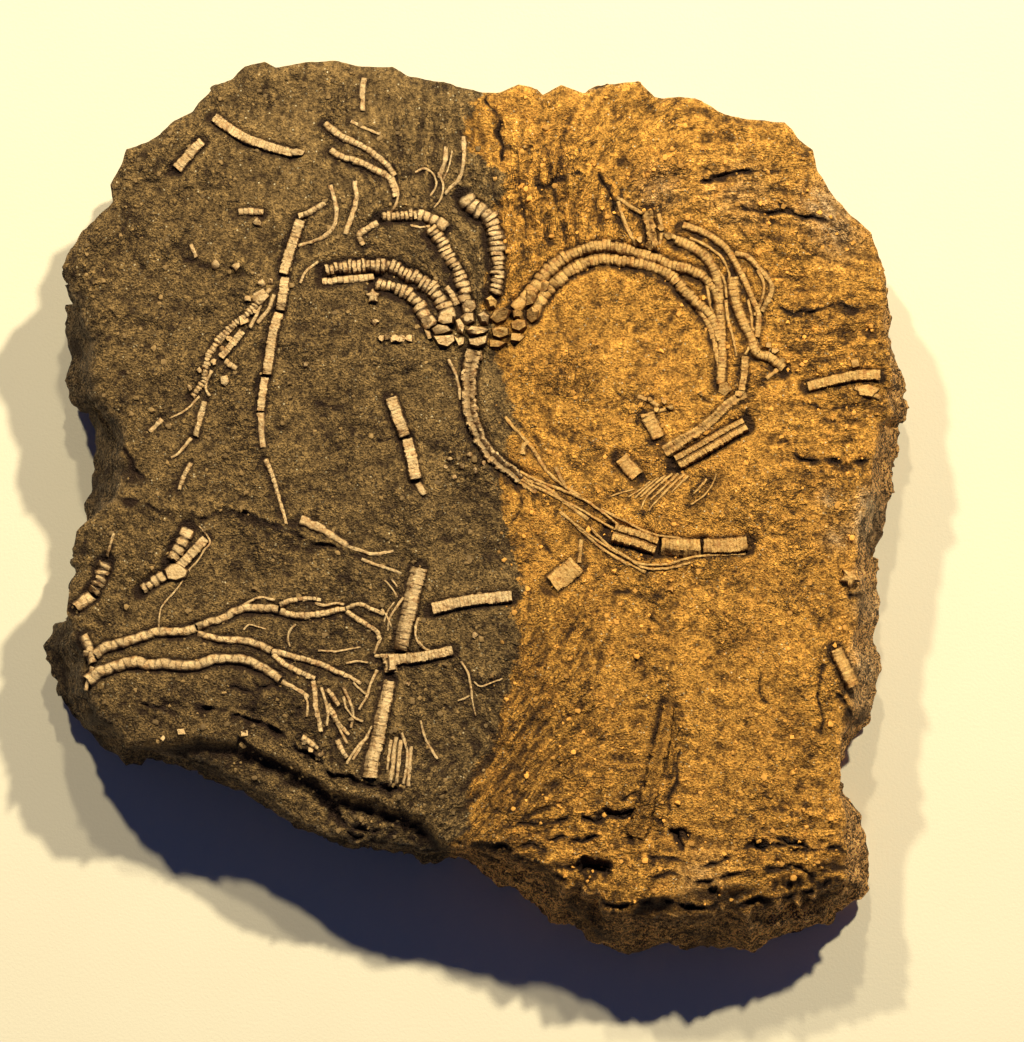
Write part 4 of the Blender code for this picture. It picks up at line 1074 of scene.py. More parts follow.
# Runs too small for a solid, by the piece they are part of.
LOOSE_RUNS = {
    "crown_strands": [
        ("twig", 8, 7, [(374, 277), (350, 280), (322, 283)]),
        ("twig", 7, 6, [(378, 223), (366, 230), (359, 236), (363, 246)]),
        ("cirrus", 4, 3, [(448, 362), (455, 375), (459, 390), (460, 402)]),
        ("ghost", 5, 4, [(446, 146), (445, 160), (439, 178)]),
        ("ghost", 5, 4, [(463, 135), (464, 150), (463, 165), (458, 180), (450, 188), (445, 194)]),
        ("ghost", 5, 4, [(330, 185), (334, 200), (336, 215), (333, 228), (322, 238), (298, 246)]),
        ("ghost", 5, 5, [(354, 181), (356, 200), (352, 215), (345, 235)]),
        ("ghost", 6, 6, [(363, 75), (362, 92), (362, 109)]),
        ("cirrus", 4, 3, [(392, 176), (397, 190), (396, 205), (388, 214)]),
        ("cirrus", 3, 3, [(318, 262), (306, 272), (300, 284)]),
        ("cirrus", 3, 3, [(430, 226), (420, 228), (410, 226)]),
        ("ghost", 4, 3, [(350, 120), (366, 128), (380, 133)]),
        ("twig", 8, 6, [(457, 306), (452, 296), (446, 288)]),
    ],
    "left_strands": [
        ("ghost", 8, 6, [(261, 415), (262, 432), (264, 450)]),
        ("twig", 6, 3, [(266, 462), (273, 478), (277, 492), (281, 505), (287, 526)]),
        ("twig", 7, 6, [(205, 403), (201, 420), (196, 438)]),
        ("ghost", 5, 4, [(163, 421), (150, 433)]),
        ("cirrus", 4, 3, [(192, 440), (180, 455), (172, 460)]),
        ("twig", 5, 4, [(192, 465), (184, 480), (180, 492)]),
        ("twig", 7, 6, [(225, 363), (237, 371)]),
        ("cirrus", 5, 4, [(270, 290), (262, 303), (256, 318), (250, 330)]),
        ("cirrus", 5, 4, [(274, 296), (268, 312), (258, 325)]),
        ("cirrus", 4, 4, [(240, 322), (228, 335), (218, 346)]),
        ("cirrus", 4, 3, [(212, 372), (206, 388), (210, 398)]),
        ("cirrus", 3, 2, [(200, 398), (186, 412), (170, 420)]),
        ("twig", 8, 7, [(238, 212), (250, 211), (263, 212)]),
        ("cirrus", 5, 5, [(190, 245), (196, 258)]),
        ("ghost", 8, 6, [(418, 486), (421, 492), (425, 498)]),
    ],
    "right_strands": [
        ("twig", 6, 5, [(735, 253), (748, 257), (759, 268), (768, 279), (772, 290), (768, 301),
                        (762, 312)]),
        ("twig", 7, 6, [(698, 309), (707, 322), (713, 338), (716, 353), (719, 368)]),
        ("column", 8, 7, [(745, 358), (744, 374), (741, 392)]),
        ("cirrus", 4, 3, [(690, 238), (705, 245), (720, 256), (728, 270), (731, 286)]),
        ("cirrus", 4, 3, [(726, 300), (728, 320), (733, 340), (736, 358)]),
        ("cirrus", 4, 3, [(707, 285), (710, 305), (714, 320)]),
        ("cirrus", 4, 3, [(758, 270), (764, 285), (762, 300), (755, 316)]),
        ("cirrus", 4, 3, [(700, 250), (712, 262), (724, 280), (727, 298)]),
        ("cirrus", 4, 3, [(748, 300), (752, 322), (750, 345), (745, 356)]),
        ("twig", 6, 5, [(668, 234), (680, 240), (694, 243)]),
        ("stub", 15, 13, [(647, 419), (652, 428), (658, 440)]),
        ("ghost", 4, 3, [(641, 419), (652, 415), (666, 411)]),
        ("stub", 16, 14, [(621, 460), (628, 469), (636, 479)]),
        ("ghost", 5, 4, [(658, 408), (648, 402), (637, 399)]),
        ("cirrus", 3, 2, [(688, 478), (680, 486), (671, 495)]),
        ("cirrus", 3, 2, [(684, 476), (672, 487), (660, 499)]),
        ("cirrus", 3, 2, [(678, 476), (664, 489), (650, 503)]),
        ("cirrus", 3, 2, [(672, 476), (658, 488), (646, 500), (640, 513)]),
        ("cirrus", 3, 2, [(665, 478), (652, 489), (640, 500)]),
        ("cirrus", 2, 2, [(658, 480), (646, 490), (634, 501)]),
        ("cirrus", 2, 2, [(650, 484), (640, 492), (628, 500)]),
        ("cirrus", 2, 2, [(668, 492), (656, 504), (648, 514)]),
        ("cirrus", 3, 2, [(706, 481), (700, 489), (693, 496)]),
        ("cirrus", 2, 2, [(716, 476), (711, 488), (702, 499), (690, 507)]),
        ("cirrus", 2, 2, [(634, 492), (620, 496), (608, 500)]),
        ("ghost", 5, 4, [(781, 360), (776, 372), (766, 380)]),
        ("ghost", 5, 4, [(855, 388), (866, 394), (880, 398)]),
        ("ghost", 4, 4, [(617, 197), (628, 204), (640, 211), (648, 213)]),
        ("ghost", 4, 4, [(618, 201), (623, 216), (629, 232), (637, 246)]),
        ("ghost", 4, 3, [(659, 213), (662, 228), (660, 244)]),
    ],
    "stem_bundle": [
        ("cirrus", 4, 3, [(508, 474), (530, 487), (555, 500), (580, 512), (600, 524), (614, 532)]),
        ("cirrus", 4, 3, [(520, 474), (540, 485), (562, 493), (585, 503), (606, 518), (618, 528)]),
        ("ghost", 5, 4, [(500, 462), (522, 478), (545, 490), (565, 506), (588, 522)]),
        ("cirrus", 3, 3, [(575, 527), (600, 545), (620, 557), (640, 567), (665, 567), (680, 563),
                          (700, 558), (745, 556)]),
        ("cirrus", 3, 3, [(590, 530), (608, 548), (626, 560), (645, 571), (668, 571), (690, 565)]),
        ("ghost", 4, 3, [(560, 515), (580, 532), (600, 550), (622, 564), (645, 575)]),
        ("ghost", 4, 3, [(555, 470), (563, 486), (575, 500)]),
        ("ghost", 4, 3, [(535, 455), (545, 472), (560, 486), (580, 498)]),
        ("ghost", 5, 4, [(522, 457), (524, 448), (530, 445)]),
        ("ghost", 4, 4, [(581, 542), (580, 553), (579, 565)]),
        ("ghost", 4, 3, [(505, 420), (515, 432), (528, 446), (538, 460)]),
        ("low", 11, 8, [(521, 482), (528, 488), (537, 494)]),
        ("ghost", 3, 3, [(600, 512), (625, 524), (650, 536), (680, 541)]),
    ],
    "buried_column": [
        ("buried", 11, 18, [(668, 707), (663, 735), (657, 762), (651, 788), (643, 815), (635, 838)]),
        ("buried", 6, 4, [(677, 710), (674, 732), (671, 752), (668, 776)]),
    ],
    "crown_cirri": [
        ("cirrus", 3, 2, [(404, 600), (396, 612), (390, 622), (388, 634)]),
        ("cirrus", 3, 2, [(382, 612), (388, 620), (392, 630)]),
        ("cirrus", 3, 3, [(345, 699), (347, 710), (354, 719), (364, 724)]),
        ("cirrus", 4, 3, [(369, 738), (360, 748), (353, 757), (348, 766)]),
        ("cirrus", 3, 3, [(373, 728), (366, 741), (359, 753), (354, 762)]),
        ("cirrus", 3, 2, [(319, 653), (337, 654), (350, 652), (362, 650)]),
        ("cirrus", 3, 2, [(347, 666), (357, 664), (369, 665)]),
        ("cirrus", 3, 3, [(354, 685), (361, 692), (367, 697)]),
        ("twig", 5, 4, [(329, 706), (333, 716), (341, 727), (350, 737)]),
        ("twig", 6, 5, [(338, 742), (343, 752), (348, 760)]),
        ("cirrus", 4, 3, [(402, 735), (407, 750), (408, 764), (404, 786)]),
        ("cirrus", 3, 3, [(419, 644), (424, 650), (430, 653)]),
        ("cirrus", 3, 2, [(415, 172), (424, 168), (433, 174), (436, 185), (430, 196)]),
        ("cirrus", 3, 2, [(438, 172), (443, 184), (441, 198), (434, 208)]),
        ("cirrus", 2, 2, [(452, 150), (449, 166), (443, 180)]),
    ],
    "cross_strands": [
        ("ghost", 5, 4, [(397, 739), (395, 752), (394, 765), (392, 779), (389, 788)]),
        ("ghost", 4, 4, [(402, 742), (400, 755), (399, 770), (397, 786)]),
        ("ghost", 4, 4, [(412, 748), (411, 760), (410, 774), (409, 788)]),
        ("cirrus", 4, 3, [(392, 742), (390, 756), (388, 772)]),
        ("cirrus", 3, 3, [(421, 723), (424, 735), (428, 745), (433, 753), (438, 761)]),
        ("cirrus", 3, 2, [(461, 664), (468, 675), (471, 690), (473, 705), (476, 718)]),
        ("cirrus", 2, 2, [(458, 703), (464, 701), (470, 698)]),
        ("cirrus", 2, 2, [(474, 684), (481, 689), (492, 685), (503, 681)]),
        ("cirrus", 2, 2, [(385, 583), (393, 592), (398, 600)]),
        ("cirrus", 2, 2, [(392, 582), (398, 590)]),
        ("cirrus", 2, 2, [(395, 605), (388, 615), (385, 625)]),
        ("cirrus", 3, 3, [(382, 640), (378, 648), (375, 656)]),
        ("cirrus", 4, 3, [(378, 672), (372, 685), (367, 700), (360, 712)]),
        ("cirrus", 3, 3, [(419, 620), (416, 632), (417, 642), (423, 650)]),
        ("low", 14, 12, [(388, 657), (391, 665), (392, 674)]),
        ("twig", 7, 3, [(391, 659), (383, 658), (375, 658)]),
        ("twig", 6, 5, [(314, 683), (316, 695), (317, 710), (320, 722), (322, 734)]),
        ("twig", 6, 5, [(328, 692), (334, 699), (340, 708)]),
        ("twig", 6, 5, [(330, 710), (335, 716), (338, 724)]),
        ("twig", 7, 5, [(303, 740), (312, 745), (319, 751)]),
        ("cirrus", 4, 3, [(344, 690), (350, 702), (354, 716), (352, 730)]),
        ("cirrus", 4, 3, [(322, 690), (326, 702), (329, 716), (328, 728)]),
        ("cirrus", 3, 3, [(336, 722), (342, 734), (348, 746)]),
        ("cirrus", 3, 3, [(305, 695), (309, 707), (308, 719)]),
    ],
    "small_crown_strands": [
        ("ghost", 4, 3, [(94, 668), (90, 680), (88, 692)]),
        ("cirrus", 3, 2, [(297, 627), (291, 633), (289, 641), (291, 649)]),
        ("cirrus", 2, 2, [(200, 528), (211, 543), (205, 553), (200, 562), (190, 573), (184, 583),
                          (178, 592), (168, 603), (162, 613), (160, 630)]),
        ("cirrus", 3, 3, [(115, 535), (112, 546), (108, 558)]),
        ("ghost", 10, 7, [(301, 523), (312, 527), (325, 534), (337, 542), (348, 549)]),
        ("rod", 13, 11, [(93, 597), (86, 603), (78, 609)]),
        ("ghost", 4, 3, [(362, 562), (375, 567), (390, 572), (402, 577)]),
        ("ghost", 4, 3, [(345, 548), (360, 553), (375, 557), (394, 554)]),
        ("cirrus", 3, 2, [(284, 512), (286, 520), (288, 527)]),
        ("cirrus", 2, 2, [(245, 632), (250, 627), (255, 628), (268, 632)]),
        ("ghost", 5, 4, [(340, 676), (352, 680), (362, 686)]),
        ("ghost", 5, 4, [(283, 684), (298, 692), (310, 700)]),
        ("cirrus", 3, 3, [(238, 612), (250, 604), (262, 600), (276, 603)]),
        ("cirrus", 3, 3, [(316, 606), (326, 608), (336, 606), (345, 607)]),
    ],
}

# Plates: corners on the plan, height in millimetres. The calyx's own are solids too.
CALYX = {
    "calyx_middle": [
        ([(466, 333), (471, 329), (483, 329), (490, 332), (486, 336), (477, 338), (469, 337)], 2.6),
        ([(467, 340), (477, 340), (488, 338), (487, 346), (478, 350), (469, 347)], 2.2),
        ([(461, 307), (466, 301), (475, 302), (477, 309), (472, 315), (462, 314)], 2.2),
        ([(460, 318), (465, 314), (474, 315), (475, 324), (468, 328), (461, 325)], 2.0),
        ([(477, 317), (484, 313), (490, 318), (488, 327), (480, 328)], 1.9),
        ([(455, 322), (460, 320), (465, 328), (463, 337), (457, 335)], 1.7),
        ([(453, 338), (459, 340), (465, 339), (464, 347), (459, 350)], 1.6),
    ],
    "calyx_left": [
        ([(431, 331), (438, 326), (448, 328), (453, 334), (444, 336), (434, 337)], 2.5),
        ([(432, 339), (444, 338), (455, 337), (456, 344), (448, 350), (438, 348)], 2.2),
        ([(420, 321), (427, 317), (432, 322), (431, 330), (423, 329)], 1.9),
        ([(438, 317), (445, 313), (454, 318), (453, 326), (443, 327), (437, 323)], 2.4),
        ([(424, 331), (430, 333), (433, 341), (428, 342)], 1.5),
    ],
    "calyx_right": [
        ([(489, 321), (494, 312), (504, 309), (511, 313), (507, 322), (496, 326)], 2.6),
        ([(512, 313), (519, 310), (524, 314), (521, 321), (513, 320)], 2.0),
        ([(510, 324), (517, 320), (526, 322), (527, 330), (519, 334), (511, 331)], 2.3),
        ([(491, 331), (499, 328), (509, 330), (509, 337), (500, 341), (492, 338)], 2.2),
        ([(511, 335), (521, 335), (526, 338), (520, 344), (510, 343)], 1.9),
        ([(521, 301), (526, 291), (534, 291), (538, 298), (534, 306), (525, 308)], 2.5),
        ([(526, 312), (532, 308), (539, 312), (538, 321), (531, 325), (526, 320)], 2.2),
        ([(536, 284), (543, 279), (550, 283), (548, 292), (540, 296)], 2.2),
        ([(485, 300), (491, 297), (498, 303), (496, 311), (488, 313)], 2.0),
        ([(488, 341), (498, 342), (507, 345), (500, 350), (489, 349)], 1.4),
    ],
}
LOOSE_PLATES = [
    ([(221, 379), (228, 377), (231, 384), (226, 389), (221, 386)], 1.0),
    ([(850, 361), (858, 360), (860, 368), (852, 370)], 0.9),
    ([(855, 387), (868, 385), (880, 390), (872, 399), (858, 397)], 0.8),
    ([(718, 386), (727, 384), (732, 392), (725, 399), (717, 394)], 1.3),
    ([(242, 733), (250, 732), (250, 738), (243, 739)], 0.8),
    ([(178, 731), (186, 730), (188, 736), (180, 737)], 0.7),
    ([(165, 572), (172, 566), (180, 566), (190, 573), (188, 580), (178, 584), (168, 582)], 1.5),
    ([(388, 655), (396, 654), (397, 673), (389, 674)], 1.7),
    ([(253, 295), (264, 290), (270, 298), (262, 307), (252, 304)], 1.0),
    ([(238, 318), (247, 315), (250, 324), (241, 328)], 0.9),
    ([(285, 149), (296, 147), (306, 150), (303, 155), (290, 155)], 1.2),
]

# Small round pieces: u, v, radius in steps.
BEADS = [
    (375, 324, 4), (382, 340, 4), (388, 339, 4), (395, 341, 4.5), (402, 341, 4), (409, 341, 4),
    (475, 638, 3.2), (409, 686, 2.6), (306, 367, 2.6), (257, 223, 4.5), (215, 266, 5),
    (236, 268, 5), (306, 744, 3), (312, 752, 3), (322, 756, 3), (352, 722, 3), (165, 740, 3),
    (246, 735, 3), (200, 372, 3), (190, 390, 3), (262, 286, 4), (270, 283, 3.5), (248, 300, 3.5),
    (255, 313, 3.5), (230, 340, 3.5), (222, 351, 3.5), (214, 364, 3.4), (738, 396, 4.5),
    (727, 392, 4), (768, 346, 3.5), (775, 352, 3.5), (782, 362, 3.8), (760, 348, 3.5),
    (752, 330, 3.2), (662, 228, 4), (655, 244, 4), (668, 236, 3.5), (670, 410, 3.5),
    (664, 404, 3.2), (656, 412, 3), (650, 402, 3), (700, 396, 2.6), (540, 284, 4), (640, 240, 4),
    (88, 655, 4), (450, 462, 3), (462, 470, 3), (476, 474, 3), (470, 458, 2.6), (446, 470, 2.4),
    (484, 466, 2.8), (455, 480, 2.4),
]
# Star-shaped columnals: u, v, radius in steps, turn in degrees, height in millimetres.
STAR, LOOSE_STAR = (848, 580, 12.0, 55.0, 1.5), (373, 298, 9.0, 20.0, 1.3)
STAR_WAIST = 0.52  # the radius between its points, as a share of that at them
OCHRE_FROM = 505.0  # loose pieces to the right of this are ochre

GRIT_COUNT = 3600  # drawn over the face, before some are left out
GRIT_SIZES = (1.0, 3.2)  # radius in steps
PEBBLE_SIDES = 8

THICK_RUN = 3.6 * MM  # a run rises no more for being wider than this
BLOCK_TILT = 0.55  # of a plate's top, as a share of its height

# Rings of a plate and of a dome: how wide each is and how high it lies, as shares.
BLOCK_RINGS = ((1.04, -0.6), (1.0, 0.40), (0.84, 0.88), (0.44, 1.0))
DOME_RINGS = ((1.0, -0.5), (1.0, 0.30), (0.93, 0.66), (0.78, 0.90), (0.50, 1.0), (0.22, 1.03))


def spline(points, spacing):
    """A smooth line through the points at even spacing: arrays of u, v, and length along."""
    points = np.array(points, dtype=float)
    ends = [2 * points[0] - points[1], *points, 2 * points[-1] - points[-2]]
    curve = []
    for p0, p1, p2, p3 in zip(ends, ends[1:], ends[2:], ends[3:]):
        for t in np.linspace(0.0, 1.0, 12, endpoint=False):
            curve.append(0.5 * (2 * p1 + (p2 - p0) * t + (2 * p0 - 5 * p1 + 4 * p2 - p3) * t**2
                                + (3 * p1 - p0 - 3 * p2 + p3) * t**3))
    curve = np.array(curve + [points[-1]])
    along = np.concatenate([[0.0], np.cumsum(np.hypot(*np.diff(curve, axis=0).T))])
    places = np.linspace(0.0, along[-1], max(2, int(along[-1] / spacing) + 1))
    return np.interp(places, along, curve[:, 0]), np.interp(places, along, curve[:, 1]), places


class Builder:
    """Collects closed shapes into one mesh, with the numbers each point carries."""

    def __init__(self):
        self.points, self.faces = [], []
        self.joint, self.tone = [], []
        self.count = 0

    def add(self, points, faces, joint, tone, jitter=0.10):
        index = np.arange(len(points))[:, None] + self.count
        shift = hashed(index, np.arange(3)[None, :], 91) - 0.5
        points = points + 2.0 * jitter * MM * shift
        self.faces += [[i + self.count for i in face] for face in faces]
        self.points.append(points)
        self.joint.append(joint)
        self.tone.append(tone)
        self.count += len(points)

    def piece(self, name, sharp=48, stony=False):
        """One object. A stony one carries the numbers of the stone's material instead."""
        joint, tone = np.concatenate(self.joint), np.concatenate(self.tone)
        attributes = {"joint": joint, "tone": tone}
        if stony:
            ochre = np.ones(len(joint))
            # The buried column's hollow number darkens it as painted shade at its foot and in its
            # groove, and darkens its joints.
            attributes = {"ochre": ochre, "hollow": 0.7 * joint, "tone": 0.3 * tone - 0.12}
        return piece_from(name, np.concatenate(self.points), self.faces, attributes, sharp)


def run_stations(length, look, seed):
    """Along a run: place, girth, dirt, and number of the ossicle, for each section."""
    joints = [0.0]
    while joints[-1] < length:
        longer = 1.0 + (look["first"] - 1.0) * math.exp(-joints[-1] / look["fade"])
        uneven = 1.0 + 0.30 * (float(hashed(len(joints), seed, 7)) - 0.5)
        joints.append(joints[-1] + look["period"] * longer * uneven)
    count = len(joints) - 1
    scale = length / joints[-1]
    places, girths, joint_dark, numbers = [], [], [], []
    for k, (start, end) in enumerate(zip(joints, joints[1:])):
        for t, girth, joint in look["ring"]:
            places.append((start + t * (end - start)) * scale)
            girths.append(girth)
            joint_dark.append(joint)
            numbers.append(k)
    places.append(length)
    girths.append(look["ring"][0][1])
    joint_dark.append(0.6)
    numbers.append(count)
    return np.array(places), np.array(girths), np.array(joint_dark), np.array(numbers)


def own_part(numbers, seed, draw):
    """From -0.5 to 0.5, the same for all the points of one ossicle."""
    return hashed(numbers, numbers * 0 + seed, draw) - 0.5


def run_place(line, places):
    """Where a run's sections are: u, v, the way it runs as x and y, and the share passed."""
    path_u, path_v, path_s = spline(line, 1.0)
    u, v = np.interp(places, path_s, path_u), np.interp(places, path_s, path_v)
    tangent_x = np.gradient(plan_x(path_u))
    tangent_y = np.gradient(plan_y(path_v))
    tx, ty = np.interp(places, path_s, tangent_x), np.interp(places, path_s, tangent_y)
    size = np.hypot(tx, ty)
    return u, v, tx / size, ty / size, places / path_s[-1]


def tube_faces(rows, sides):
    """Faces along a run whose sections are open below, and its two ends."""
    faces = []
    for i in range(rows - 1):
        for k in range(sides - 1):
            a = i * sides + k
            faces.append((a, a + sides, a + sides + 1, a + 1))
    faces.append(tuple(range(sides)))
    faces.append(tuple(range(rows * sides - 1, (rows - 1) * sides - 1, -1)))
    return faces


def add_run(builder, ground, look_name, start, end, line, seed):
    """One run of ossicles, lying half sunk in the stone along its line."""
    look = LOOKS[look_name]
    length = spline(line, 1.0)[2][-1]
    places, girths, joint_dark, numbers = run_stations(length, look, seed)
    u, v, tx, ty, share = run_place(line, places)
    even_width = (start + (end - start) * share) * PLAN_STEP
    width = even_width * (1.0 + look["vary"] * 2.0 * own_part(numbers, seed, 11))
    aside = look["vary"] * width * own_part(numbers, seed, 12)
    rise = look["rise"] * np.minimum(even_width, THICK_RUN)
    rise = rise * (1.0 + 1.6 * look["vary"] * own_part(numbers, seed, 13))
    section = np.array(look["section"])
    across = section[:, 0][None, :] * (0.5 * width * girths)[:, None] + aside[:, None]
    up = section[:, 1][None, :] * rise[:, None]
    up = np.where(up > 0.0, up * (0.35 + 0.65 * girths[:, None]), up)
    wedge = np.where(numbers % 2 == 0, 1.0, -1.0) * look["skew"] * look["period"] * PLAN_STEP
    along = section[:, 0][None, :] * wedge[:, None]
    along[0], along[-1] = 0.0, 0.0
    x = plan_x(u)[:, None] - ty[:, None] * -across + tx[:, None] * along
    y = plan_y(v)[:, None] - tx[:, None] * across + ty[:, None] * along
    z = read_map(ground, u, v)[:, None] + up
    points = np.stack([x, y, z], axis=2).reshape(-1, 3)
    # Dark joints from the ring, and painted shade low on the sides and at the foot from the section.
    joint = np.maximum(joint_dark[:, None], section[:, 2][None, :])
    tone = own_part(numbers, seed, 14)[:, None] + 0.0 * up
    faces = tube_faces(len(places), len(section))
    builder.add(points, faces, joint.ravel(), tone.ravel(), look["jitter"])


def add_rings(builder, rings, joint, seed):
    """A closed shape from rings of the same count of points, from its foot to its top."""
    count = len(rings[0])
    top = (len(rings) - 1) * count
    faces = ring_faces(len(rings), count)
    faces.append(tuple(range(top, top + count)))
    faces.append(tuple(range(count - 1, -1, -1)))
    joint = np.repeat(joint, count)
    builder.add(np.concatenate(rings), faces, joint, np.full(len(joint), hashed(seed, 9) - 0.5))


def add_block(builder, ground, corners, rise, seed):
    """An angular plate: its own corners, a bevelled edge and a flat, tilted top."""
    outline = np.array(corners, dtype=float)
    count = len(outline)
    middle = outline.mean(axis=0)
    reach = np.hypot(*(outline - middle).T).max()
    base = float(read_map(ground, middle[:1], middle[1:])[0])
    turn = 2.0 * math.pi * float(hashed(seed, 5))
    tilt = BLOCK_TILT * rise * MM / reach * np.array([math.cos(turn), math.sin(turn)])
    rings = []
    for share, up in BLOCK_RINGS:
        around = middle + (outline - middle) * share
        uneven_top = 0.36 * (hashed(np.arange(count), int(share * 50), seed) - 0.5) * (up > 0.0)
        z = base + (up + uneven_top) * rise * MM + ((around - middle) @ tilt) * (up > 0.0)
        rings.append(np.stack([plan_x(around[:, 0]), plan_y(around[:, 1]), z], axis=1))
    # The lower rings are coloured darker, as painted shade at the plate's foot.
    add_rings(builder, rings, [1.0 if up < 0.5 else 0.0 for _, up in BLOCK_RINGS], seed)


def add_dome(builder, ground, corners, rise, seed):
    """A plate or pebble: rings of its outline shrinking towards a domed top."""
    corners = np.array(corners, dtype=float)
    closed = np.concatenate([corners, corners[:1]])
    lengths = np.concatenate([[0.0], np.cumsum(np.hypot(*np.diff(closed, axis=0).T))])
    count = max(8, min(24, int(lengths[-1] / 2.6)))
    places = np.linspace(0.0, lengths[-1], count, endpoint=False)
    outline = np.stack([np.interp(places, lengths, closed[:, k]) for k in (0, 1)], axis=1)
    middle = outline.mean(axis=0)
    base = float(read_map(ground, middle[:1], middle[1:])[0])
    tilt = 0.24 * (hashed(seed, 5) - 0.5), 0.24 * (hashed(seed, 6) - 0.5)
    rings = []
    for share, up in DOME_RINGS:
        around = middle + (outline - middle) * share
        slope = ((around - middle) @ np.array(tilt)) * PLAN_STEP
        bumpy = 0.06 * (hashed(np.arange(count), int(share * 50), seed) - 0.5) * (share < 0.9)
        z = base + (up + bumpy) * rise * MM + slope * (up > 0.0)
        rings.append(np.stack([plan_x(around[:, 0]), plan_y(around[:, 1]), z], axis=1))
    # The lower rings are coloured darker, as painted shade at the dome's foot.
    add_rings(builder, rings, [0.9 if up < 0.5 else 0.0 for _, up in DOME_RINGS], seed)


def round_corners(u, v, radius, seed, ragged):
    corners = []
    for k in range(PEBBLE_SIDES):
        angle = -k * math.pi / 4.0
        reach = radius * (1.0 + ragged * 2.0 * (float(hashed(seed, k, 15)) - 0.5))
        corners.append((u + reach * math.cos(angle), v + reach * math.sin(angle)))
    return corners


def star_corners(u, v, radius, turn):
    corners = []
    for i in range(10):
        reach = radius * (1.0 if i % 2 == 0 else STAR_WAIST)
        angle = math.radians(turn - 36.0 * i)
        corners.append((u + reach * math.cos(angle), v - reach * math.sin(angle)))
    return corners


def add_grit(builder, height, rim_test):
    """Loose crumbs of the stone over the face."""
    index = np.arange(GRIT_COUNT)
    u = FACE_FROM[0] + FACE_SPAN[0] * hashed(index, 1, 71)
    v = FACE_FROM[1] + FACE_SPAN[1] * hashed(index, 2, 72)
    keep = rim_test(u, v)
    low, high = GRIT_SIZES
    radius = low + (high - low) * hashed(index, 3, 73) ** 3
    dense = strength_of(BROKEN, 0.12)
    keep &= hashed(index, 4, 74) < 0.35 + read_map(dense, u, v) * 1.6
    for k in index[keep]:
        corners = round_corners(u[k], v[k], radius[k], int(k), 0.35)
        add_pebble(builder, height, corners, radius[k], int(k))


def add_pebble(builder, height, corners, radius, seed):
    outline = np.array(corners[::-1])
    middle = outline.mean(axis=0)
    base = float(read_map(height, middle[:1], middle[1:])[0])
    rise = radius * PLAN_STEP * (0.55 + 0.5 * float(hashed(seed, 1, 75)))
    x, y = plan_x(outline[:, 0]), plan_y(outline[:, 1])
    mx, my = plan_x(middle[0]), plan_y(middle[1])
    n = PEBBLE_SIDES
    foot = np.stack([x, y, np.full(n, base - 0.5 * rise)], axis=1)
    waist_z = base + rise * (0.55 + 0.3 * (hashed(np.arange(n), seed, 76) - 0.5))
    waist = np.stack([mx + (x - mx) * 0.9, my + (y - my) * 0.9, waist_z], axis=1)
    crown = np.array([[mx, my, base + rise]])
    faces = [(i, n + i, n + (i + 1) % n, (i + 1) % n) for i in range(n)]
    faces += [(n + i, 2 * n, n + (i + 1) % n) for i in range(n)]
    faces.append(tuple(range(n)))
    joint = np.concatenate([np.full(n, 0.8), np.zeros(n + 1)])
    tone = np.full(2 * n + 1, hashed(seed, 2, 77) - 0.5)
    builder.add(np.concatenate([foot, waist, crown]), faces, joint, tone)


# ---------------------------------------------------------------- colours
BROWN_DARK, BROWN_LIGHT = (0.078, 0.044, 0.013), (0.360, 0.212, 0.066)
OCHRE_DARK, OCHRE_LIGHT = (0.385, 0.158, 0.021), (0.915, 0.440, 0.070)
GREY_DARK, GREY_LIGHT = (0.300, 0.220, 0.120), (0.900, 0.720, 0.440)
WALL_DARK, WALL_LIGHT = (0.028, 0.016, 0.007), (0.440, 0.270, 0.110)
WALL_OCHRE = (0.680, 0.360, 0.112)
RUST = (0.360, 0.130, 0.020)
CREVICE_SHADE = (0.050, 0.018, 0.004)  # painted shade: the red brown given to the stone's deepest hollows, gaps and pits
GRAIN_LIGHT = (0.78, 0.62, 0.34)  # of the few pale grains
TAN_LIGHT, TAN_DEEP = (0.900, 0.620, 0.280), (0.560, 0.310, 0.100)
# The stain colours also serve, darkened, as the painted shade on the fossils.
TAN_STAIN_AND_SHADE = (0.300, 0.110, 0.022)
SAND_LIGHT, SAND_DEEP = (0.800, 0.480, 0.145), (0.520, 0.235, 0.040)
SAND_STAIN_AND_SHADE = (0.320, 0.098, 0.011)
FLOOR_PALE, FLOOR_DEEP = (0.965, 0.855, 0.600), (0.900, 0.785, 0.540)
LAMP_WARM, LAMP_COOL = (1.0, 0.93, 0.74), (0.80, 0.88, 1.0)
SKY_COLOUR, SKY_STRENGTH = (0.17, 0.29, 1.0, 1.0), 0.085

SHADED_SIDE = (-0.60, -0.80, 0.0)  # of the fossils: their lower left, which faces away from the lamps and is darkened with painted shade

# The numbers that the stone's points carry for its material.
STONE_NUMBERS = ("ochre", "hollow", "wall", "tone", "drawn", "beside", "broken", "grey", "calm")
GRAIN_TURNS = (0.0, 45.0, 90.0, 135.0)  # the directions that its grain is made of, in degrees

# Its noises: size of their features, detail and roughness.
STONE_NOISES = {
    "broad": (11.0 * MM, 5.0, 0.62),
    "patches": (2.6 * MM, 4.0, 0.65),
    "lumpy": (1.3 * MM, 4.0, 0.62),
    "sand": (0.44 * MM, 2.0, 0.60),
}
STONE_MIDDLE = 0.52  # its lightness before any noise
GRAIN_SIZE = 0.62 * MM
FLAKE_STEPS = 15.0  # how many flakes deep the noise is cut
BED_STRETCH = (1.0, 1.0, 3.2)

# The floor, in metres: flat to FLOOR_FLAT, then rising by FLOOR_RIM over the rings.
FLOOR_FLAT, FLOOR_RIM, FLOOR_SIDES = 2.1, 0.55, 96
FLOOR_RINGS = (2.1, 2.2, 2.3, 2.4, 2.5, 2.6, 2.7, 2.8)

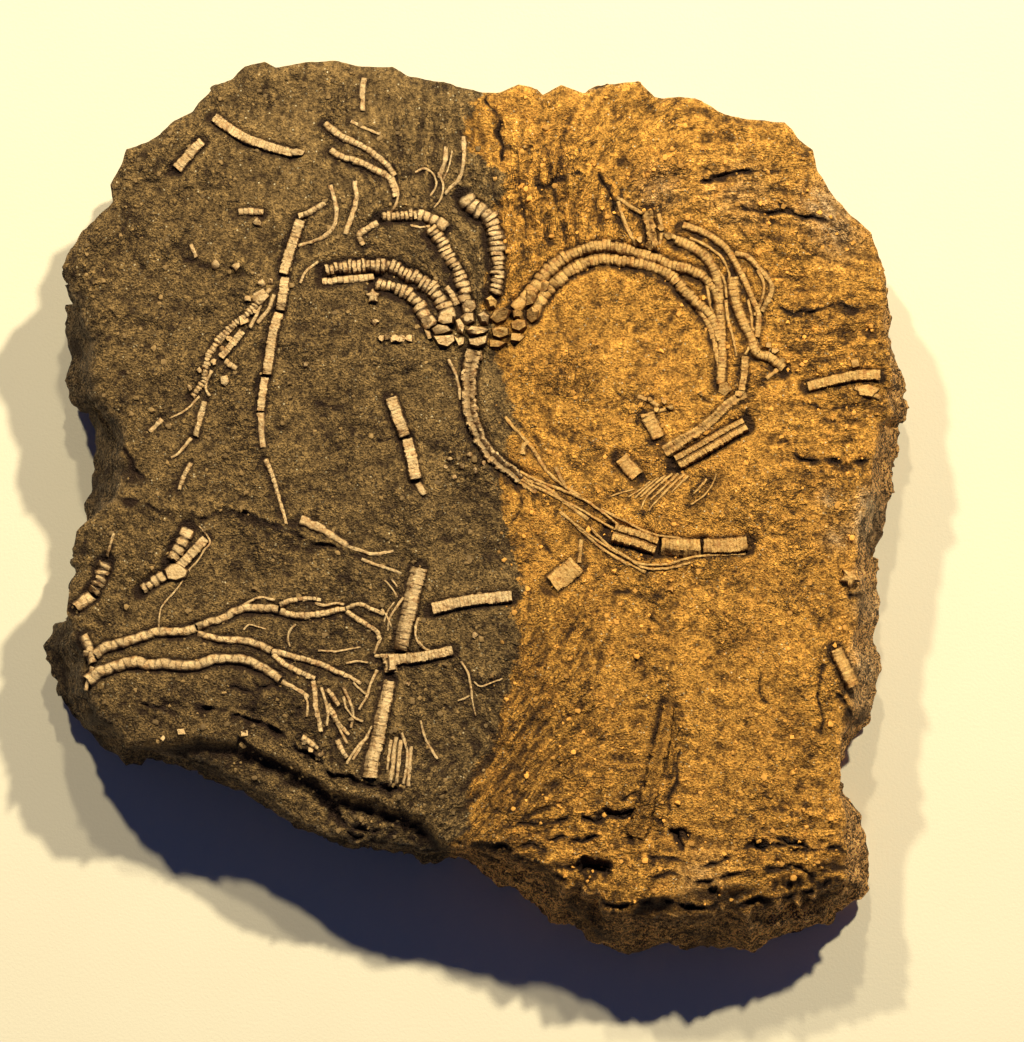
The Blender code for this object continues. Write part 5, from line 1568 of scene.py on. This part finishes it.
# Lamps: direction from the object, distance and size in metres, power, colour.
LAMPS = {
    "left_lamp": ((-58.0, 120.0, 153.0), 1.2, 0.055, 6.9, LAMP_WARM),
    "middle_lamp": ((0.0, 116.0, 153.0), 1.2, 0.055, 4.0, LAMP_WARM),
    "right_lamp": ((70.0, 100.0, 153.0), 1.2, 0.055, 12.4, LAMP_WARM),
    "front_fill": ((0.0, -150.0, 60.0), 2.2, 0.9, 0.35, LAMP_COOL),
}


# ---------------------------------------------------------------- materials
class Graph:
    """A material's nodes, added one call at a time."""

    def __init__(self, name):
        self.material = bpy.data.materials.new(name)
        self.material.use_nodes = True
        self.tree = self.material.node_tree
        self.shader = self.tree.nodes["Principled BSDF"]
        self.place = self.add("ShaderNodeTexCoord").outputs["Object"]

    def feed(self, socket, value):
        if hasattr(value, "is_linked"):
            self.tree.links.new(value, socket)
        else:
            socket.default_value = value

    def add(self, kind, sockets=None, **settings):
        made = self.tree.nodes.new(kind)
        for key, value in settings.items():
            setattr(made, key, value)
        for key, value in (sockets or {}).items():
            self.feed(made.inputs[key], value)
        return made

    def number(self, name):
        """A number that the mesh's points carry."""
        return self.add("ShaderNodeAttribute", attribute_name=name).outputs["Fac"]

    def noise(self, size, detail=4.0, roughness=0.6, place=None, warp=0.0):
        """Noise from 0 to 1 with features of that size in metres."""
        sockets = {
            "Vector": place or self.place, "Scale": 1.0 / size, "Detail": detail,
            "Roughness": roughness, "Distortion": warp,
        }
        return self.add("ShaderNodeTexNoise", sockets).outputs[0]

    def math(self, operation, a, b=0.0, c=0.0):
        return self.add("ShaderNodeMath", {0: a, 1: b, 2: c}, operation=operation).outputs[0]

    def times(self, *factors):
        product = factors[0]
        for factor in factors[1:]:
            product = self.math("MULTIPLY", product, factor)
        return product

    def remainder(self, share):
        """What a share leaves of 1."""
        return self.math("SUBTRACT", 1.0, share)

    def plus(self, total, value, amount):
        """The total and some of a value."""
        return self.math("MULTIPLY_ADD", value, amount, total)

    def swing(self, total, value, amount):
        """The total and some of a noise, which takes away as much as it adds."""
        return self.plus(total, self.math("SUBTRACT", value, 0.5), amount)

    def vector(self, operation, a, b, output=0):
        return self.add("ShaderNodeVectorMath", {0: a, 1: b}, operation=operation).outputs[output]

    def spread(self, value, low, high, to_low=0.0, to_high=1.0):
        """The value's range low to high mapped to another, and held there."""
        sockets = {0: value, 1: low, 2: high, 3: to_low, 4: to_high}
        return self.add("ShaderNodeMapRange", sockets).outputs[0]

    def between(self, share, at_none, at_all):
        return self.spread(share, 0.0, 1.0, at_none, at_all)

    def mix(self, factor, a, b):
        made = self.add("ShaderNodeMix", data_type="RGBA")
        for index, value in ((0, factor), (6, a), (7, b)):
            if isinstance(value, tuple):
                value = (*value, 1.0)
            self.feed(made.inputs[index], value)
        return made.outputs[2]

    def brighten(self, colour, factor):
        """The colour times a number."""
        scaled = self.add("ShaderNodeVectorMath", {0: colour}, operation="SCALE")
        self.feed(scaled.inputs[3], factor)
        return scaled.outputs[0]

    def finish(self, colour, height, roughness, specular):
        """Feeds the shader: its colour, a bump from a height in metres, and its gloss."""
        bump = self.add("ShaderNodeBump", {"Height": height, "Distance": 1.0, "Strength": 1.0})
        sockets = self.shader.inputs
        self.feed(sockets["Base Color"], colour)
        self.feed(sockets["Normal"], bump.outputs[0])
        self.feed(sockets["Roughness"], roughness)
        sockets["Specular IOR Level"].default_value = specular
        return self.material


def drawn_noise(g, size, stretch):
    """Noise drawn out along the stone's grain: four directions, weighted point by point."""
    turns = g.add("ShaderNodeAttribute", attribute_name="turns")
    apart = g.add("ShaderNodeSeparateColor", {0: turns.outputs["Color"]})
    weights = [*apart.outputs[:3], turns.outputs["Alpha"]]
    total = None
    for weight, turn in zip(weights, GRAIN_TURNS):
        angle = math.radians(turn)
        direction = (math.cos(angle) / stretch, -math.sin(angle) / stretch, 0.0)
        sideways = (math.sin(angle), math.cos(angle), 0.0)
        along = g.vector("DOT_PRODUCT", g.place, direction, "Value")
        across = g.vector("DOT_PRODUCT", g.place, sideways, "Value")
        place = g.add("ShaderNodeCombineXYZ", {0: along, 1: across})
        value = g.noise(size, 3.0, 0.65, place.outputs[0], 0.4)
        part = g.times(g.math("SUBTRACT", value, 0.5), weight)
        total = part if total is None else g.math("ADD", total, part)
    return total


def stone_pits(g):
    """Small pits and wormy gaps between the grains, 0 to 1, which the stone's colour darkens as painted
    shade.
    """
    pits = g.noise(0.60 * MM, 2.0, 0.55, warp=0.7)
    return g.spread(pits, 0.415, 0.345)


def stone_flakes(g, broken, broad):
    """Edges where thin flakes have come off: the steps, and a line of painted shade along each."""
    waves = g.times(g.noise(6.0 * MM, 5.0, 0.58, warp=0.5), FLAKE_STEPS)
    part = g.math("FRACT", waves)
    edge = g.spread(part, 0.02, 0.14)
    steps = g.math("ADD", g.math("FLOOR", waves), edge)
    where = g.spread(g.swing(broken, broad, 2.2), 0.22, 0.50)
    line = g.times(g.spread(part, 0.13, 0.05), where)
    return g.times(steps, where), line


def stone_worms(g, drawn, broad):
    """Hairline cracks and wavy strokes, which follow the grain where there is one; the stone's colour
    darkens them as painted shade.
    """
    folds = drawn_noise(g, 2.6 * MM, 3.2)
    folded = g.spread(g.math("ABSOLUTE", folds), 0.020, 0.004)
    folded = g.times(folded, g.spread(g.plus(broad, drawn, 0.6), 0.50, 0.66))
    winding = g.noise(2.2 * MM, 3.0, 0.55, warp=0.9)
    cracks = g.spread(g.math("ABSOLUTE", g.math("SUBTRACT", winding, 0.5)), 0.018, 0.004)
    cracks = g.times(cracks, g.spread(broad, 0.50, 0.60))
    return g.math("MAXIMUM", cracks, folded)


def stone_colour(g, own, shade, patches):
    """Olive brown stone on one side of the line and ochre on the other."""
    brown = g.mix(shade, BROWN_DARK, BROWN_LIGHT)
    yellow = g.mix(shade, OCHRE_DARK, OCHRE_LIGHT)
    rust = g.spread(g.noise(12.0 * MM, 3.0, 0.60), 0.46, 0.66)
    yellow = g.mix(g.times(rust, 0.18), yellow, RUST)
    clouded = g.times(own["grey"], g.spread(patches, 0.36, 0.56, 0.25, 1.0))
    yellow = g.mix(clouded, yellow, g.mix(shade, GREY_DARK, GREY_LIGHT))
    stray = g.times(g.math("SUBTRACT", patches, 0.5), 1.6)
    border = g.spread(g.math("ADD", own["ochre"], stray), 0.30, 0.70)
    return g.mix(border, brown, yellow)


def stone_beds(g):
    """Noise drawn out level, as the beds show in the broken sides."""
    return g.noise(3.0 * MM, 5.0, 0.7, g.vector("MULTIPLY", g.place, BED_STRETCH))


def stone_sides(g, own, colour, shade, bedded):
    """The colour, with that of the broken sides over it."""
    pale = g.mix(own["ochre"], WALL_LIGHT, WALL_OCHRE)
    side = g.mix(g.spread(g.swing(bedded, shade, 0.35), 0.42, 0.60), WALL_DARK, pale)
    side = g.brighten(side, g.between(own["ochre"], 0.80, 2.3))
    clouded = g.times(own["grey"], g.spread(bedded, 0.40, 0.58, 0.10, 0.85))
    side = g.mix(clouded, side, g.mix(shade, GREY_DARK, GREY_LIGHT))
    return g.mix(g.times(own["wall"], 0.85), colour, side)


def stone_shade(g, own, noises, picked, streaks):
    """How light the stone is from grain to grain, 0 to 1."""
    sharpness = g.times(g.between(own["ochre"], 1.75, 1.90), g.between(own["calm"], 1.0, 0.45))
    shade = g.swing(STONE_MIDDLE, noises["broad"], 0.24)
    shade = g.swing(shade, noises["patches"], 0.22)
    shade = g.swing(shade, noises["sand"], sharpness)
    shade = g.swing(shade, picked.outputs[2], 0.30)
    shade = g.plus(shade, streaks, 1.2)
    return g.spread(shade, 0.20, 0.80)


def stone_dark(g, own, lumpy, pits, worms):
    """What is left of the stone's brightness, with its tone: painted shade in hollows, cracks, pits,
    beside the fossils and under ledges, and painted shade and highlight following the lumps of the
    bump.
    """
    gap = g.plus(g.times(worms, 0.70), own["beside"], 0.76)
    pitted = g.times(pits, g.between(own["ochre"], 0.66, 0.50), g.between(own["calm"], 1.0, 0.25))
    return g.times(
        g.remainder(g.times(own["hollow"], 0.62)),
        g.spread(lumpy, 0.36, 0.62, 0.72, 1.24),
        g.remainder(g.math("MINIMUM", gap, 0.92)),
        g.remainder(pitted),
        g.math("ADD", 1.0, own["tone"]),
    )


def stone_material():
    g = Graph("stone_look")
    own = {name: g.number(name) for name in STONE_NUMBERS}
    noises = {name: g.noise(*settings) for name, settings in STONE_NOISES.items()}
    streaks = g.times(drawn_noise(g, 0.75 * MM, 5.0), own["drawn"])
    grains = g.add("ShaderNodeTexVoronoi", {"Vector": g.place, "Scale": 1.0 / GRAIN_SIZE})
    picked = g.add("ShaderNodeSeparateColor", {0: grains.outputs["Color"]})
    pits = stone_pits(g)
    bedded = stone_beds(g)
    steps, edges = stone_flakes(g, own["broken"], noises["broad"])
    worms = g.math("MAXIMUM", stone_worms(g, own["drawn"], noises["broad"]), edges)

    shade = stone_shade(g, own, noises, picked, streaks)
    colour = stone_colour(g, own, shade, noises["patches"])
    colour = stone_sides(g, own, colour, shade, bedded)
    near = g.spread(grains.outputs["Distance"], 0.42, 0.22)
    bright = g.times(near, g.spread(picked.outputs[0], 0.950, 0.960))
    colour = g.mix(g.times(bright, 0.80), colour, GRAIN_LIGHT)
    # Painted shade and highlight multiplied into the colour, and the deepest painted shade tinted red
    # brown.
    shading = stone_dark(g, own, noises["lumpy"], pits, worms)
    colour = g.brighten(colour, g.math("MAXIMUM", shading, 0.06))
    colour = g.mix(g.spread(shading, 0.80, 0.20, 0.0, 0.55), colour, CREVICE_SHADE)

    height = g.times(noises["lumpy"], 0.95 * MM)
    height = g.plus(height, noises["sand"], g.between(own["calm"], 1.15 * MM, 0.55 * MM))
    height = g.plus(height, picked.outputs[1], 0.11 * MM)
    height = g.plus(height, pits, -0.26 * MM)
    height = g.plus(height, streaks, 3.0 * MM)
    height = g.plus(height, worms, -0.20 * MM)
    height = g.plus(height, steps, 0.26 * MM)
    height = g.plus(height, g.times(bedded, own["wall"]), 4.5 * MM)
    return g.finish(colour, height, g.spread(noises["sand"], 0.35, 0.65, 0.95, 0.62), 0.32)


def darker(colour, share):
    return tuple(share * part for part in colour)


def fossil_colour(g, shade, fine, specks, light, deep, stain_and_shade, joint_darkness):
    """Tan or sandy calcite, stained where it is worn and dark in its joints, with painted shade low
    down at its foot, on its steep flanks and on its lower left side.
    """
    normal = g.add("ShaderNodeNewGeometry").outputs["Normal"]
    upward = g.add("ShaderNodeSeparateXYZ", {0: normal}).outputs[2]
    colour = g.mix(g.spread(shade, 0.36, 0.60), deep, light)
    worn = g.spread(g.noise(1.9 * MM, 4.0, 0.75), 0.55, 0.62)
    colour = g.mix(g.times(worn, 0.60), colour, stain_and_shade)
    # Painted shade on the steep flanks, darker the less they face up.
    flank_shade = g.spread(upward, 0.78, 0.25, 0.0, 0.80)
    colour = g.mix(flank_shade, colour, darker(stain_and_shade, 0.55))
    # Painted shade on the lower left side, which faces away from the lamps.
    away = g.vector("DOT_PRODUCT", normal, SHADED_SIDE, "Value")
    side_shade = g.spread(away, 0.12, 0.62, 0.0, 0.72)
    colour = g.mix(side_shade, colour, darker(stain_and_shade, 0.30))
    # Dark joints, and painted shade low down at the foot, from the joint number.
    joint_dark = g.times(g.number("joint"), g.spread(fine, 0.25, 0.60, 0.6 * joint_darkness, joint_darkness))
    colour = g.mix(joint_dark, colour, darker(stain_and_shade, 0.12))
    colour = g.mix(g.times(specks, 0.65), colour, darker(stain_and_shade, 0.4))
    return g.brighten(colour, g.plus(1.0, g.number("tone"), 0.34))


def fossil_material(name, light, deep, stain_and_shade, joint_darkness):
    g = Graph(name)
    patches = g.noise(2.2 * MM, 4.0, 0.65)
    fine = g.noise(0.5 * MM, 3.0, 0.7)
    shade = g.plus(g.times(fine, 0.50), patches, 0.50)
    specks = g.spread(g.noise(0.7 * MM, 2.0, 0.6, warp=0.6), 0.36, 0.31)
    colour = fossil_colour(g, shade, fine, specks, light, deep, stain_and_shade, joint_darkness)
    height = g.times(g.noise(1.1 * MM, 3.0, 0.65), 0.55 * MM)
    height = g.plus(height, fine, 0.20 * MM)
    height = g.plus(height, specks, -0.10 * MM)
    return g.finish(colour, height, g.spread(patches, 0.35, 0.65, 0.52, 0.82), 0.35)


def grit_material():
    g = Graph("grit_look")
    east = g.add("ShaderNodeSeparateXYZ", {0: g.place}).outputs[0]
    fine = g.noise(0.6 * MM, 3.0, 0.7)
    brown = g.mix(fine, BROWN_DARK, darker(BROWN_LIGHT, 1.35))
    yellow = g.mix(fine, OCHRE_DARK, darker(OCHRE_LIGHT, 1.25))
    colour = g.mix(g.spread(east, 0.002, 0.007), brown, yellow)
    colour = g.brighten(colour, g.plus(1.0, g.number("tone"), 0.9))
    height = g.times(g.noise(0.5 * MM, 3.0, 0.7), 0.15 * MM)
    return g.finish(colour, height, g.spread(fine, 0.3, 0.7, 0.92, 0.70), 0.5)


def floor_material():
    g = Graph("pale_floor")
    tooth = g.noise(0.7 * MM, 2.0, 0.6)
    mottle = g.plus(g.times(tooth, 0.4), g.noise(30.0 * MM, 4.0, 0.5), 0.6)
    colour = g.mix(mottle, FLOOR_DEEP, FLOOR_PALE)
    return g.finish(colour, g.times(tooth, 0.06 * MM), 0.75, 0.2)


# ---------------------------------------------------------------- the whole object
def finish_piece(obj, material, slot, nodes=()):
    obj.data.materials.append(material)
    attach(obj, "root")
    if nodes:
        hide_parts(*nodes)


def build_runs(ground, looks, dusty):
    """The ossicles of the runs that are solids too."""
    for seed, (node, (look, start, end, line)) in enumerate(RUNS.items()):
        builder = Builder()
        add_run(builder, ground, look, start, end, line, 100 + seed)
        material, slot = looks[node in OCHRE_NODES]
        if node in DUSTY_NODES:
            material = dusty
        finish_piece(builder.piece(node + "_ossicles"), material, slot, (node,))


def build_calyx(ground, looks):
    for seed, (node, plates) in enumerate(CALYX.items()):
        builder = Builder()
        for k, (corners, rise) in enumerate(plates):
            add_block(builder, ground, corners, rise, 200 + 10 * seed + k)
        finish_piece(builder.piece(node + "_plates", 28), *looks[node in OCHRE_NODES], (node,))


def build_star(ground, look):
    builder = Builder()
    u, v, radius, turn, rise = STAR
    add_dome(builder, ground, star_corners(u, v, radius, turn), rise, 300)
    finish_piece(builder.piece("star_columnal_disc"), *look, ("star_columnal",))


def build_loose_runs(ground, looks, stone_look):
    """The runs too small for a solid, and the stem's cirri, which replace one."""
    group_looks = {
        "right_strands": looks[True],
        "stem_bundle": looks[True],
        "buried_column": (stone_look, "ochre_calcite"),
    }
    for seed, (name, runs) in enumerate(LOOSE_RUNS.items()):
        builder = Builder()
        for k, (look, start, end, line) in enumerate(runs):
            add_run(builder, ground, look, start, end, line, 400 + 40 * seed + k)
        nodes = ("stem_cirri",) if name == "stem_bundle" else ()
        piece = builder.piece(name, stony=name == "buried_column")
        finish_piece(piece, *group_looks.get(name, looks[False]), nodes)


def build_fossils(height, stone_look):
    ground = blur(height, 3.2)
    tan = fossil_material("tan_fossil", TAN_LIGHT, TAN_DEEP, TAN_STAIN_AND_SHADE, 1.0)
    sandy = fossil_material("ochre_fossil", SAND_LIGHT, SAND_DEEP, SAND_STAIN_AND_SHADE, 0.72)
    looks = {False: (tan, "tan_calcite"), True: (sandy, "ochre_calcite")}
    build_runs(ground, looks, sandy)
    build_calyx(ground, looks)
    build_star(ground, looks[True])
    build_loose_runs(ground, looks, stone_look)
    build_small_pieces(height, looks)


def build_small_pieces(height, looks):
    """Loose plates, fragments and a star-shaped columnal, coloured by the side they lie on."""
    ground = blur(height, 2.0)
    builders = {False: Builder(), True: Builder()}
    for k, (corners, rise) in enumerate(LOOSE_PLATES):
        add_block(builders[corners[0][0] > OCHRE_FROM], ground, corners, rise, 700 + k)
    for k, (u, v, radius) in enumerate(BEADS):
        corners = round_corners(u, v, radius, 800 + k, 0.32)
        add_block(builders[u > OCHRE_FROM], ground, corners, 0.14 * radius + 0.35, 800 + k)
    u, v, radius, turn, rise = LOOSE_STAR
    add_dome(builders[False], ground, star_corners(u, v, radius, turn), rise, 900)
    finish_piece(builders[False].piece("left_fragments"), *looks[False])
    finish_piece(builders[True].piece("right_fragments"), *looks[True])


def build_grit(height):
    """Crumbs of the stone inside the rim of the face."""
    u, v, inset, inward = outline_at(300)
    rim_u, rim_v = u + inward[:, 0] * inset, v + inward[:, 1] * inset
    builder = Builder()
    add_grit(builder, height, lambda u, v: inside_mask(rim_u, rim_v, u, v, 6.0))
    finish_piece(builder.piece("grit"), grit_material(), "matrix")


def add_floor():
    """A plain floor, flat around the object and rising into a low rim far from it."""
    points, faces = [], []
    for radius in FLOOR_RINGS:
        rise = FLOOR_RIM * (max(0.0, radius - FLOOR_FLAT) / (FLOOR_RINGS[-1] - FLOOR_FLAT)) ** 2
        for k in range(FLOOR_SIDES):
            turn = 2.0 * math.pi * k / FLOOR_SIDES
            points.append((radius * math.cos(turn), radius * math.sin(turn), rise))
    faces.append(tuple(range(FLOOR_SIDES)))
    for ring in range(len(FLOOR_RINGS) - 1):
        for k in range(FLOOR_SIDES):
            a, b = ring * FLOOR_SIDES + k, ring * FLOOR_SIDES + (k + 1) % FLOOR_SIDES
            faces.append((a, a + FLOOR_SIDES, b + FLOOR_SIDES, b))
    mesh = bpy.data.meshes.new("floor")
    mesh.from_pydata(points, [], faces)
    mesh.shade_smooth()
    floor = bpy.data.objects.new("floor", mesh)
    bpy.context.scene.collection.objects.link(floor)
    floor.data.materials.append(floor_material())


def add_light(name, direction, distance, size, power, colour):
    light = bpy.data.lights.new(name, "AREA")
    light.shape = "DISK"
    light.size = size
    light.energy = power
    light.color = colour
    obj = bpy.data.objects.new(name, light)
    length = math.sqrt(sum(part * part for part in direction))
    obj.location = [part / length * distance for part in direction]
    pointing = -obj.location.normalized()
    obj.rotation_euler = pointing.to_track_quat("-Z", "Y").to_euler()
    bpy.context.scene.collection.objects.link(obj)


def add_lights():
    for name, settings in LAMPS.items():
        add_light(name, *settings)
    world = bpy.data.worlds.new("studio")
    world.use_nodes = True
    sky = world.node_tree.nodes["Background"].inputs
    sky["Color"].default_value = SKY_COLOUR
    sky["Strength"].default_value = SKY_STRENGTH
    bpy.context.scene.world = world


def add_camera():
    camera = bpy.data.cameras.new("photo_view")
    camera.sensor_width = SENSOR
    camera.lens = CAMERA_DISTANCE * SENSOR / (VIEW_HEIGHT * PLAN_STEP)
    camera.clip_end = 10.0
    obj = bpy.data.objects.new("photo_view", camera)
    target_x, target_y = plan_x(VIEW_CENTRE[0]), plan_y(VIEW_CENTRE[1])
    target_z = SLAB_THICKNESS + 0.8 * FACE_CROWN
    obj.location = (
        target_x,
        target_y - CAMERA_DISTANCE * math.sin(VIEW_TILT),
        target_z + CAMERA_DISTANCE * math.cos(VIEW_TILT),
    )
    obj.rotation_euler = (VIEW_TILT, 0.0, 0.0)
    bpy.context.scene.collection.objects.link(obj)
    bpy.context.scene.camera = obj


def main():
    height, angle = face_map()
    height = clear_beside_fossils(height)
    stone_look = stone_material()
    finish_piece(build_stone(height, angle), stone_look, "matrix", ("matrix_slab",))
    build_fossils(height, stone_look)
    build_grit(height)
    add_floor()
    add_lights()
    add_camera()
    bpy.context.scene.view_settings.view_transform = "Standard"


main()
